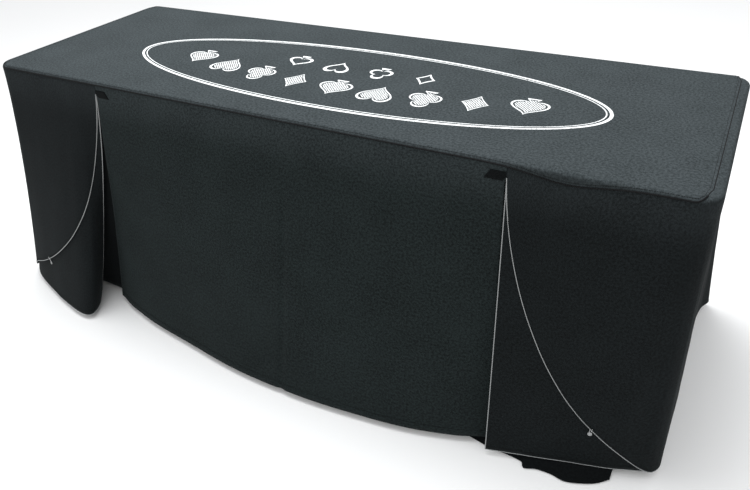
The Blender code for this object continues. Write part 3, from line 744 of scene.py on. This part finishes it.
def make_end_cloth(name, cloth):
    half = FLAP_FRONT + CORNER
    across = [2 + (i + 1) / 20 for i in range(9)]
    stations = half + across + [2.5] + [5 - s for s in reversed(half + across)]
    columns = []
    for station in stations:
        start = cloth.seam(station) - TUCK_LENGTH
        columns.append([cloth.point(station, t) for t in travels_down(start, cloth.edge_travel(station))])
    rows = list(zip(*columns))
    obj = hung_cloth(f"{name}_end_cloth", rows, END_CLOTH, f"cover_{name}_panel")
    attach(obj, "cover")
    max(row_length(r) for r in rows)
    edge = [cloth.point(s, cloth.edge_travel(s), CLOTH / 2) for s in stations]
    binding(f"{name}_end_edge", edge, "cover")
    sewn = [s for s in stations if 0.03 < s < 4.97]
    inner = [cloth.point(s, cloth.edge_travel(s) - EDGE_STITCH_RISE, -0.0003) for s in sewn]
    stitches(f"{name}_end_stitches", inner, "cover")


def flap_depth(travel):
    """How far the under-flap lies inside the end panel, which hangs away from it."""
    return OUTER_LAYER - MIDDLE_LAYER + LAYER_SPREAD * drop_share(shoulder(travel)[1]) ** FLARE_POWER


def make_under_flap(side_name, end, cloth):
    """The straight-edged flap behind the curved one, from the slit into the corner."""
    stations = [LAST_STATION - s if end == "back" else s for s in FLAP_FRONT + CORNER[:9]]
    travels = travels_down(SHOULDER_TRAVEL, FULL_TRAVEL)

    def point(station, travel, above=0.0):
        return cloth.point(station, travel, flap_depth(travel) - above)

    rows = [[point(s, t) for s in stations] for t in travels]
    obj = hung_cloth(f"{end}_{side_name}_flap_cloth", rows, END_CLOTH, f"{end}_{side_name}_under_flap")
    attach(obj, "cover")
    row_length(rows[-1])
    free_edge = [point(stations[0], t, -CLOTH / 2) for t in travels if t > 0.035]
    hem = [point(s, travels[-1], -CLOTH / 2) for s in stations]
    binding(f"{end}_{side_name}_flap_edge", free_edge + hem[1:], "cover")
    stitch_line = [point(s, travels[-1] - FLAP_STITCH_RISE, 0.0003) for s in stations[2:]]
    stitches(f"{end}_{side_name}_flap_stitches", stitch_line, "cover")


def turned_mesh(name, profile, sides, foot=Vector(), turn=Matrix.Identity(3)):
    """A turned solid from a profile of (radius, height) stops, standing on foot."""
    spin = [2 * math.pi * i / sides for i in range(sides)]
    bm = bmesh.new()
    rings = [[bm.verts.new(foot + turn @ Vector((r * math.cos(a), r * math.sin(a), height))) for a in spin]
             for r, height in profile]
    join_rings(bm, rings)
    bm.faces.new(list(reversed(rings[0])))
    bm.faces.new(rings[-1])
    bmesh.ops.recalc_face_normals(bm, faces=bm.faces)
    return mesh_of(bm, name)


# The button's profile, as shares of its radius and heights in metres: shank, rim, dished face
BUTTON_PROFILE = (
    (0.45, 0.0), (0.5, 0.0006), (0.95, 0.0008), (1.0, 0.0012), (0.94, 0.0019), (0.72, 0.0022),
    (0.62, 0.0018), (0.2, 0.0016),
)
LOOP_CORD_RADIUS, LOOP_ROOT, LOOP_HALF_WIDTH = 0.0006, 0.006, 0.0020


def make_flap_button(side_name, end, cloth):
    """A small moulded button on the under-flap, and the elastic loop that holds the flap to it."""
    station = BUTTON_STATION if end == "front" else LAST_STATION - BUTTON_STATION
    travel = cloth.edge_travel(station) + BUTTON_BELOW_EDGE * (SEAM_Z - HEM_Z)
    foot = cloth.point(station, travel, flap_depth(travel) - 0.0001)
    axis = cloth.outward(station, travel)
    profile = [(share * BUTTON_RADIUS, height) for share, height in BUTTON_PROFILE]
    label = f"{end}_{side_name}_flap_button"
    mesh = turned_mesh(label, profile, 24, foot, axis.to_track_quat("Z", "Y").to_matrix())
    button = new_piece(label, mesh, BUTTON_PLASTIC)
    mesh.set_sharp_from_angle(angle=math.radians(35))
    attach(button, "cover")
    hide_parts(f"{end}_{side_name}_button")
    edge = cloth.point(station, cloth.edge_travel(station), -LOOP_CORD_RADIUS)
    reach = (foot - edge).normalized()
    across = axis.cross(reach).normalized()
    centre = foot + axis * 0.0005

    def leg(way):
        root = edge - reach * LOOP_ROOT + across * (way * LOOP_HALF_WIDTH * 1.1) + axis * 0.0004
        return [root, edge + across * (way * LOOP_HALF_WIDTH) + axis * 0.0002]

    hook = [centre + (across * math.cos(a) + reach * math.sin(a)) * BUTTON_RADIUS * 0.62
            for a in (math.radians(-60 + 300 * i / 16) for i in range(17))]
    loop = leg(1) + hook + leg(-1)[::-1]
    binding(f"{end}_{side_name}_button_loop", loop, "cover", LOOP_CORD, LOOP_CORD_RADIUS)


def make_skirt(name, face, top, hem, flares, seed):
    """A long skirt, and the loop tape at both slits, painted very dark for the shadowed tuck there."""
    knots = evenly(flares)

    def point(u, travel, above=0.0):
        inset, z = shoulder(travel)
        v = drop_share(z)
        low, high = top[0] + (hem[0] - top[0]) * v, top[1] + (hem[1] - top[1]) * v
        tuck = SKIRT_TUCK * (1 - ease(*TUCK_ENDS, v))
        low, high = low - tuck, high + tuck
        x = low + (high - low) * u
        out = smooth_through(knots, u)[0] * v**FLARE_POWER
        from_edge = min(u, 1 - u)
        out -= SKIRT_CURL * (1 - ease(0.0, CURL_SHARE, from_edge)) * ease(*CURL_STARTS, v)
        folds = soft_folds(x, z, seed)
        crease = -CREASE_DEPTH * math.exp(-(((x - CREASE_X) / CREASE_WIDTH) ** 2)) * ease(*CREASE_STARTS, v)
        near_edge = 0.4 + 0.6 * ease(0.0, CURL_SHARE, from_edge)
        seam = seam_travel(Vector((x, face * COVER_HALF_WIDTH)))
        y = COVER_HALF_WIDTH + MIDDLE_LAYER - inset + out + (folds + crease) * near_edge + above
        y -= under_seam(travel, seam) * 0.5
        return CENTRE + Vector((x, face * y, z))

    columns = [i / 220 for i in range(221)]
    rows = [[point(u, t) for u in columns] for t in travels_down(SEAM_FRONT - TUCK_LENGTH, FULL_TRAVEL, 84)]
    obj = hung_cloth(f"{name}_skirt_cloth", rows, SIDE_CLOTH, f"{name}_skirt", SKIRT_RIM_LIGHT)
    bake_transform(obj)
    row_length(rows[-1])
    hem_line = [point(u, FULL_TRAVEL - HEM_STITCH_RISE, 0.0003) for u in columns[2:-2]]
    stitches(f"{name}_skirt_hem_stitches", hem_line, f"{name}_skirt")
    width = top[1] - top[0]
    right_x = top[1] - SLIT_SHADE_TAPE_WIDTH - SLIT_SHADE_TAPE_MARGIN
    # Loop tape at the tops of both slits, painted very dark for the shadowed tuck there
    for side_name, low_x in (("left", top[0] + SLIT_SHADE_TAPE_MARGIN), ("right", right_x)):
        shares = [(low_x - top[0] + SLIT_SHADE_TAPE_WIDTH * i / 12) / width for i in range(13)]
        levels = [SLIT_SHADE_TAPE[1] + (SLIT_SHADE_TAPE[0] - SLIT_SHADE_TAPE[1]) * i / 8 for i in range(9)]
        drops = [SHOULDER_TRAVEL + SHOULDER_Z - SHOULDER_RADIUS - z for z in levels]
        shade_tape_rows = [[point(u, t, 0.0012) for u in shares] for t in drops]
        label = f"{name}_{side_name}_slit_tape"
        shade_tape = new_piece(label, grid_mesh(label, shade_tape_rows), LOOP_TAPE_PAINTED_SHADE)
        give_thickness(shade_tape, SLIT_SHADE_TAPE_THICKNESS)
        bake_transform(shade_tape)


def make_gusset(name, face, first_x, last_x, flares, hem_z, seed):
    """The pleat behind a slit. The front right one slides out over the floor at its foot."""
    knots = evenly(flares)
    slides = name == "front_right"
    low_z = PLEAT_SLIDE_Z if slides else hem_z
    columns = [i / 96 for i in range(97)]
    downs = [i / 48 for i in range(49)] + ([1 + i / 12 for i in range(1, 13)] if slides else [])

    def point(u, w):
        x = first_x + (last_x - first_x) * u
        z = GUSSET_TOP_Z + (low_z - GUSSET_TOP_Z) * min(w, 1.0)
        out = smooth_through(knots, u)[0] * min(1.0, drop_share(z, hem_z)) ** FLARE_POWER
        back = PLEAT_BACK * ease(0.05, 0.45, drop_share(z))
        y = face * (COVER_HALF_WIDTH - back + out + 0.25 * soft_folds(x, z, seed))
        if w > 1:
            y += (smooth_through(PLEAT_FOOT, x)[0] - y) * (w - 1)
            z = PLEAT_FLOOR_Z + (PLEAT_SLIDE_Z - PLEAT_FLOOR_Z) * (2 - w) ** 2
        return CENTRE + Vector((x, y, z))

    rows = [[point(u, w) for u in columns] for w in downs]
    obj = hung_cloth(f"{name}_pleat_cloth", rows, PLEAT_CLOTH, f"{name}_gusset")
    attach(obj, "cover")
    row_length(rows[-1])
    row_length([row[0] for row in rows])


def rim_stops():
    """Stops round the rim: a corner, the turn through it and the way along the straight after it."""
    stops = []
    for corner in range(4):
        stops += [(corner, i / 12, 0.0) for i in range(12)]
        steps = 90 if corner % 2 else 30
        stops += [(corner, 1.0, i / steps) for i in range(steps)]
    return stops


def rim_point(stop, inset):
    """A point round the top's outline, that far inside it. Corner 0 is front right."""
    corner, turn, along = stop
    radius = max(COVER_CORNER_RADIUS + OUTER_LAYER - inset, 0.004)
    half_length = COVER_HALF_LENGTH + OUTER_LAYER - inset
    half_width = COVER_HALF_WIDTH + OUTER_LAYER - inset

    def place(at, angle):
        across, up = ((1, -1), (1, 1), (-1, 1), (-1, -1))[at % 4]
        angle = math.radians(angle + 90 * at)
        return Vector((across * (half_length - radius) + radius * math.cos(angle),
                       up * (half_width - radius) + radius * math.sin(angle)))

    here = place(corner, 90 * turn - 90)
    return here.lerp(place(corner + 1, -90), along) if along else here


def top_point(stop, past_seam, above=0.0):
    """A point on the top panel, that far from its seam towards the middle."""
    travel = seam_travel(rim_point(stop, 0.0)) - past_seam
    inset, z = shoulder(travel)
    place = rim_point(stop, inset - TOP_PROUD * (1 - min(1.0, inset / SHOULDER_RADIUS)))
    lip = TOP_PROUD + 0.0006 * ease(0.0, 0.003, past_seam) * (1 - ease(0.004, 0.020, past_seam))
    slack = 0.0007 * noise.noise(Vector((place.x * 2.2, place.y * 3.4, 2.0))) * ease(0.01, 0.06, past_seam)
    return CENTRE + Vector((place.x, place.y, z + lip * min(1.0, inset / SHOULDER_RADIUS) + slack + above))


def top_height(x, y):
    """Height of the top panel's flat middle."""
    return SHOULDER_Z + TOP_PROUD + 0.0007 * noise.noise(Vector((x * 2.2, y * 3.4, 2.0)))


def cut_point(stop, past_seam):
    """Where that point of the top panel lies on the flat cloth that it was cut from."""
    travel = seam_travel(rim_point(stop, 0.0)) - past_seam
    if travel <= 0:
        return rim_point(stop, shoulder(travel)[0])
    start = rim_point(stop, SHOULDER_RADIUS)
    return start + (rim_point(stop, 0.0) - start).normalized() * travel


# How far the top panel's rings of points lie from its seam: close together over the rim
TOP_RINGS = [0.0, 0.0008, 0.002, 0.004, 0.006, 0.008, 0.010, 0.013, 0.016, 0.020, 0.025, 0.031, 0.038]
TOP_RINGS += [0.047 + 0.0124 * i for i in range(19)]


def make_top_cloth():
    """The top panel: flat and a little slack, rolled over the rim to its seam."""
    stops = rim_stops()
    bm = bmesh.new()
    layer = bm.loops.layers.uv.new("Cloth")
    rings = [[bm.verts.new(top_point(stop, past)) for stop in stops] for past in TOP_RINGS]
    join_rings(bm, rings)
    bmesh.ops.triangulate(bm, faces=[bm.faces.new(rings[-1])])
    turn_up(bm)
    cut = [cut_point(stop, past) for past in TOP_RINGS for stop in stops]
    bm.verts.index_update()
    for face in bm.faces:
        for loop in face.loops:
            loop[layer].uv = cut[loop.vert.index]
    mesh = mesh_of(bm, "top_cloth")
    mark_painted_light(mesh)
    obj = new_piece("top_cloth", mesh, TOP_CLOTH)
    give_thickness(obj)
    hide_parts("cover_top")
    attach(obj, "cover")
    seam = [top_point(stop, -0.0009, -0.0002) for stop in stops]
    # A near-black cord in the seam groove: the seam allowance, and a painted shadow line along the groove
    binding("top_seam_cord", seam + seam[:1], "cover", BLACK_THREAD, SEAM_SHADOW_CORD_RADIUS)
    run = [top_point(stop, 0.0045, 0.0002) for stop in stops]
    stitches("top_seam_stitches", run + run[:1], "cover")


# ---------------------------------------------------------------- printed emblem

INK_LIFT = 0.0003
INK_THICKNESS = 0.00015


def print_on(name, strips, fills, height, finish, body):
    """Ink laid on a flat panel: strips are pairs of equal outlines, fills are single outlines."""
    bm = bmesh.new()

    def raised(outline):
        return [bm.verts.new(CENTRE + Vector((x, y, height(x, y)))) for x, y in outline]

    for pair in strips:
        join_rings(bm, [raised(outline) for outline in pair])
    bmesh.ops.triangulate(bm, faces=[bm.faces.new(raised(outline)) for outline in fills])
    bm.normal_update()
    bmesh.ops.reverse_faces(bm, faces=[face for face in bm.faces if face.normal.z < 0])
    obj = new_piece(name, mesh_of(bm, name), finish, smooth=False)
    give_thickness(obj, INK_THICKNESS)
    attach(obj, body)


def ellipse(centre, radii, steps=240):
    turns = (2 * math.pi * i / steps for i in range(steps))
    return [(centre[0] + radii[0] * math.cos(a), centre[1] + radii[1] * math.sin(a)) for a in turns]


def heart_shape():
    points = []
    for i in range(64):
        t = 2 * math.pi * i / 64
        x = 16 * math.sin(t) ** 3
        y = 13 * math.cos(t) - 5 * math.cos(2 * t) - 2 * math.cos(3 * t) - math.cos(4 * t)
        points.append((x / 32, (y + 2.5) / 29))
    return points


STEM = ((0.035, -0.22), (0.060, -0.36), (0.110, -0.46), (0.190, -0.52))
STEM_TOP, STEM_GAP = -0.10, 0.055


def with_stem(points):
    """The outline with a flared stem in place of its lowest middle stretch."""
    kept = [y > STEM_TOP or abs(x) > STEM_GAP for x, y in points]
    first = kept.index(False)
    body = [points[i % len(points)] for i in range(first, first + len(points)) if kept[i % len(points)]]
    sign = 1 if body[0][0] > 0 else -1
    return body + [(-sign * x, y) for x, y in STEM] + [(sign * x, y) for x, y in reversed(STEM)]


def spade_shape():
    return with_stem([(x, 0.08 - y * 0.86) for x, y in heart_shape()])


def club_shape():
    points = []
    for i in range(96):
        angle = math.pi / 2 + 2 * math.pi * i / 96
        reach = []
        for lobe in (90, 210, 330):
            off = angle - math.radians(lobe)
            inside = 0.235**2 - (0.25 * math.sin(off)) ** 2
            if inside > 0:
                reach.append(0.25 * math.cos(off) + math.sqrt(inside))
        r = max(reach)
        points.append((r * math.cos(angle), 0.04 + r * math.sin(angle)))
    return with_stem(points)


def diamond_shape():
    points = []
    for i in range(64):
        a = 2 * math.pi * i / 64
        x, y = math.cos(a), math.sin(a)
        points.append((0.37 * math.copysign(abs(x) ** 2.3, x), 0.5 * math.copysign(abs(y) ** 2.3, y)))
    return points


def placed(shape, centre, height, share=1.0):
    """The shape at that height, its top towards the front, shrunk about its middle by share."""
    return [(centre[0] - x * height * share, centre[1] - y * height * share) for x, y in shape]


def make_emblem():
    def on_top(x, y):
        return top_height(x, y) + INK_LIFT

    strips, fills = [], []
    for grow, width in ((0.0, 0.0075), (-0.0125, 0.0030)):
        outer = tuple(r + grow for r in OVAL_RADII)
        inner = tuple(r + grow - width for r in OVAL_RADII)
        strips.append((ellipse(OVAL_CENTRE, outer), ellipse(OVAL_CENTRE, inner)))
    suits = (spade_shape(), heart_shape(), club_shape(), diamond_shape())
    for i in range(9):
        from_middle = (i - 4) * LARGE_SUIT_STEP
        centre = (ROWS_X + from_middle, LARGE_ROW_Y + LARGE_ROW_ARCH * from_middle**2)
        outline, rim, fill = (placed(suits[i % 4], centre, LARGE_SUIT, share) for share in (1, 0.88, 0.78))
        strips.append((outline, rim))
        fills.append(fill)
    for i in range(4):
        from_middle = (i - 1.5) * SMALL_SUIT_STEP
        centre = (ROWS_X + from_middle, SMALL_ROW_Y + SMALL_ROW_ARCH * from_middle**2)
        strips.append((placed(suits[i], centre, SMALL_SUIT), placed(suits[i], centre, SMALL_SUIT, 0.76)))
    print_on("top_emblem_outlines", strips, [], on_top, INK, "cover")
    print_on("top_emblem_fills", [], fills, on_top, HATCHED_INK, "cover")


# ---------------------------------------------------------------- the table's own parts

CARD_CLOTH_CORNER = 0.034


def make_playing_cloth():
    """The gaming cloth under the cover."""
    low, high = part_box("playing_cloth")
    middle = (low + high) / 2 - CENTRE
    half = (high - low) / 2
    bm = bmesh.new()

    def rounded(inset, z):
        points = []
        radius = CARD_CLOTH_CORNER - inset
        for across, up, start in ((1, -1, -90), (1, 1, 0), (-1, 1, 90), (-1, -1, 180)):
            for i in range(13):
                a = math.radians(start + 90 * i / 12)
                x = middle.x + across * (half.x - inset - radius) + radius * math.cos(a)
                y = middle.y + up * (half.y - inset - radius) + radius * math.sin(a)
                points.append(bm.verts.new(CENTRE + Vector((x, y, z))))
        return points

    rings = [rounded(0.0, high.z - 0.0008), rounded(0.0006, high.z - 0.0002), rounded(0.0018, high.z)]
    join_rings(bm, rings)
    bmesh.ops.triangulate(bm, faces=[bm.faces.new(rings[-1])])
    turn_up(bm)
    obj = new_piece("card_cloth", mesh_of(bm, "card_cloth"), FELT, smooth=False)
    give_thickness(obj, high.z - low.z - 0.0012)
    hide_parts("playing_cloth")
    attach(obj, "table")
    make_layout(high.z)


# The layout's betting boxes and circles, in metres: seven along X, arched round the dealer's side
BOX_STEP, BOX_Y, BOX_ARCH = 0.215, -0.125, 0.030
BOX_HALF, BOX_SQUARENESS, BOX_LINE = (0.048, 0.065), 1.25, (0.94, 0.955)
RING_BELOW_BOX, RING_RADII = 0.098, (0.021, 0.0188)
ARC_EDGES = ((0.010, 0.0125), (0.052, 0.0545))
TRAY_Y, TRAY_OUTER, TRAY_INNER = 0.205, (0.30, 0.045), (0.2975, 0.0425)


def betting_box(x, y):
    """A box with soft corners, and the inside of its line."""
    outline = []
    for k in range(48):
        a = 2 * math.pi * k / 48
        across, up = math.cos(a), math.sin(a)
        outline.append((
            x + BOX_HALF[0] * math.copysign(min(1.0, abs(across) * BOX_SQUARENESS), across),
            y + BOX_HALF[1] * math.copysign(min(1.0, abs(up) * BOX_SQUARENESS), up),
        ))
    return outline, [(x + (px - x) * BOX_LINE[0], y + (py - y) * BOX_LINE[1]) for px, py in outline]


def layout_arc(offset):
    angles = (math.radians(-60 + 2 * k) for k in range(61))
    return [(0.78 * math.sin(t), offset + 0.10 * (1 - math.cos(t * 0.9))) for t in angles]


def make_layout(cloth_z):
    """A plain printed layout of boxes, circles, two arcs and the chip tray's place."""
    strips = []
    for i in range(7):
        x, y = (i - 3) * BOX_STEP, BOX_Y + BOX_ARCH * abs(i - 3) ** 1.3 / 4
        strips.append(betting_box(x, y))
        strips.append([ellipse((x, y - RING_BELOW_BOX), (r, r), 32) for r in RING_RADII])
    corners = ((-1, -1), (1, -1), (1, 1), (-1, 1))
    strips.append([[(x * half_x, TRAY_Y + y * half_y) for x, y in corners]
                   for half_x, half_y in (TRAY_OUTER, TRAY_INNER)])
    arcs = [layout_arc(near) + layout_arc(far)[::-1] for near, far in ARC_EDGES]
    print_on("card_cloth_layout", strips, arcs, lambda x, y: cloth_z + 0.00022, LAYOUT_INK,
             "table")


# Profiles of a domed screw head with its recess and of a pressed axle cap: (radius, height)
SCREW_HEAD = ((0.0046, 0.0), (0.0047, 0.0005), (0.0040, 0.0017), (0.0028, 0.0024), (0.0019, 0.0025),
              (0.0017, 0.0012))
NUT_CAP = ((0.0078, 0.0), (0.0078, 0.0012), (0.0066, 0.0015), (0.0058, 0.0032), (0.0040, 0.0048),
           (0.0012, 0.0054))


def fixing_tree():
    """Copies of a head standing on points, each turned along its point's own direction."""
    node, given, result = geometry_tree(
        "fixing_heads", (("Head", "NodeSocketObject"), ("Finish", "NodeSocketMaterial"))
    )
    head = node("GeometryNodeObjectInfo", {"Object": given.outputs["Head"]})
    aim = node("GeometryNodeInputNamedAttribute", {"Name": "aim"}, data_type="FLOAT_VECTOR")
    turn = node("FunctionNodeAlignRotationToVector", {"Vector": aim.outputs[0]}, axis="Z")
    put = node("GeometryNodeInstanceOnPoints",
               {"Points": given.outputs["Geometry"], "Instance": head.outputs["Geometry"],
                "Rotation": turn.outputs[0]})
    return end_tree(node, given, result, put.outputs[0])


def make_fixings(name, profile, spots, body, finish):
    """Heads of one kind on one body; a spot is a place and the way its head faces."""
    head = bpy.data.objects.new(name + "_head", turned_mesh(name + "_head", profile, 12))
    mesh = bpy.data.meshes.new(name + "_spots")
    mesh.from_pydata([tuple(place) for place, _ in spots], [], [])
    aims = mesh.attributes.new("aim", "FLOAT_VECTOR", "POINT")
    for item, (_, aim) in zip(aims.data, spots):
        item.vector = aim
    obj = grown(name, mesh, FIXING_HEADS, Head=head, Finish=finish)
    bpy.data.objects.remove(head)
    obj.data.set_sharp_from_angle(angle=math.radians(40))
    attach(obj, body)


FIXING_HEADS = fixing_tree()
DOWN, FRONT, BACK = Vector((0, 0, -1)), Vector((0, -1, 0)), Vector((0, 1, 0))


def middle_of(node):
    low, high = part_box(node)
    return (low + high) / 2, low, high


RAIL_SCREW_MARGIN, CROSS_RAIL_SCREW_MARGIN = 0.08, 0.07


def make_frame_fixings():
    """Screws up through the rails into the board."""
    spots = []
    for rail in ("front_rail", "back_rail"):
        middle, low, high = middle_of(rail)
        for i in range(9):
            x = low.x + RAIL_SCREW_MARGIN + (high.x - low.x - 2 * RAIL_SCREW_MARGIN) * i / 8
            spots.append((Vector((x, middle.y, low.z)), DOWN))
    for rail in ("left_end_rail", "centre_rail", "right_end_rail"):
        middle, low, high = middle_of(rail)
        for i in range(3):
            y = low.y + CROSS_RAIL_SCREW_MARGIN + (high.y - low.y - 2 * CROSS_RAIL_SCREW_MARGIN) * i / 2
            spots.append((Vector((middle.x, y, low.z)), DOWN))
    make_fixings("rail_screws", SCREW_HEAD, spots, "table", ZINC)


WELD_RADIUS, FOOT_RIB_RADIUS = 0.0021, 0.0012
FIRST_RIB, RIB_STEP = 0.008, 0.006


def ring_of(centre, reach, turn):
    """A closed ring of points: turn gives the directions of its cosine and its sine."""
    angles = (2 * math.pi * i / 40 for i in range(41))
    return [centre + (turn[0] * math.cos(a) + turn[1] * math.sin(a)) * reach for a in angles]


def make_leg_fixings(side):
    """Axle caps, weld beads round the stretcher's ends, and ribs round the rubber feet."""
    legs = f"{side}_legs"
    axle, axle_low, axle_high = middle_of(f"{side}_axle")
    caps = [(Vector((axle.x, axle_low.y, axle.z)), FRONT), (Vector((axle.x, axle_high.y, axle.z)), BACK)]
    make_fixings(f"{side}_axle_caps", NUT_CAP, caps, legs, ZINC)
    along, across, up = Vector((1, 0, 0)), Vector((0, 1, 0)), Vector((0, 0, 1))
    stretcher, low, high = middle_of(f"{side}_stretcher")
    for end, y in (("front", low.y), ("back", high.y)):
        middle = Vector((stretcher.x, y, stretcher.z))
        bead = ring_of(middle, (high.z - low.z) / 2 + 0.0006, (along, up))
        bead = [point + across * (0.00048 * math.sin(i * 2.3)) for i, point in enumerate(bead)]
        binding(f"{side}_{end}_weld_bead", bead, legs, POWDER, WELD_RADIUS)
        foot, foot_low, foot_high = middle_of(f"{side}_{end}_foot")
        reach = (foot_high.x - foot_low.x) / 2 * 0.985
        for k in range(3):
            level = Vector((foot.x, foot.y, foot_low.z + FIRST_RIB + RIB_STEP * k))
            rib = ring_of(level, reach, (along, across))
            binding(f"{side}_{end}_foot_rib_{k}", rib, legs, RUBBER, FOOT_RIB_RADIUS, 6)


def finish_nodes():
    """Gives every part of the table its material."""
    finishes = (
        ("table_board", PLYWOOD), ("foam_underlay", FOAM), ("edge_band", EDGE_TRIM), ("foot", RUBBER),
        ("strap_stud", ZINC), ("strap", ZINC), ("tie_rod", ZINC), ("stay_anchor", ZINC),
        ("hinge_bracket", POWDER), ("rail", POWDER), ("axle", POWDER), ("leg", POWDER), ("stretcher", POWDER),
    )
    for name, node in NODES.items():
        for part, finish in finishes:
            if part in name:
                node.data.materials.clear()
                node.data.materials.append(finish)
                break


# ---------------------------------------------------------------- camera, light, floor

def make_camera():
    data = bpy.data.cameras.new("camera")
    data.lens = 32.54
    data.sensor_width = 36.0
    data.sensor_fit = "HORIZONTAL"
    camera = bpy.data.objects.new("camera", data)
    camera.location = CENTRE + Vector((0.8762, -1.3835, 1.2896))
    camera.rotation_euler = [math.radians(a) for a in (55.63, 2.52, 28.28)]
    bpy.context.scene.collection.objects.link(camera)
    bpy.context.scene.camera = camera


def area_light(name, location, target, size, power, colour="#ffffff"):
    data = bpy.data.lights.new(name, "AREA")
    data.shape = "DISK"
    data.size = size
    data.energy = power
    data.color = srgb(colour)[:3]
    light = bpy.data.objects.new(name, data)
    light.location = location
    light.rotation_euler = (Vector(target) - Vector(location)).to_track_quat("-Z", "Y").to_euler()
    bpy.context.scene.collection.objects.link(light)


def make_studio():
    world = bpy.data.worlds.new("pale_studio")
    bpy.context.scene.world = world
    world.use_nodes = True
    background = world.node_tree.nodes["Background"]
    background.inputs["Color"].default_value = srgb("#fcfdff")
    background.inputs["Strength"].default_value = 0.9
    area_light("overhead_softbox", (-0.4, 0.3, 3.0), (0, 0, 0.5), 2.4, 80, "#fbfdff")
    area_light("front_softbox", (1.2, -3.6, 2.8), (0, 0, 0.3), 2.4, 25)
    bpy.ops.mesh.primitive_plane_add(size=40, location=(0, 0, 0))
    floor = bpy.context.object
    floor.name = "studio_floor"
    paper, _, shader = new_material("pale_paper_floor", 0.9)
    shader.inputs["Base Color"].default_value = srgb("#f7f7f6")
    floor.data.materials.append(paper)
    bpy.context.scene.view_settings.view_transform = "Standard"


make_camera()
make_studio()

make_top_cloth()
ENDS = {"left": (-1, LEFT_HEM, 11.0), "right": (1, RIGHT_HEM, 23.0)}
for side_name, (side_sign, side_hem, side_seed) in ENDS.items():
    slits = SLITS["front_" + side_name], SLITS["back_" + side_name]
    end_cloth = EndCloth(side_sign, slits, side_hem, side_seed)
    make_end_cloth(side_name, end_cloth)
    for flap_end in ("front", "back"):
        make_under_flap(side_name, flap_end, end_cloth)
        make_flap_button(side_name, flap_end, end_cloth)
    make_leg_fixings(side_name)
for skirt_name, skirt in SKIRTS.items():
    make_skirt(skirt_name, *skirt)
for pleat_name, pleat in GUSSETS.items():
    make_gusset(pleat_name, *pleat)

make_emblem()
make_playing_cloth()
make_frame_fixings()
finish_nodes()
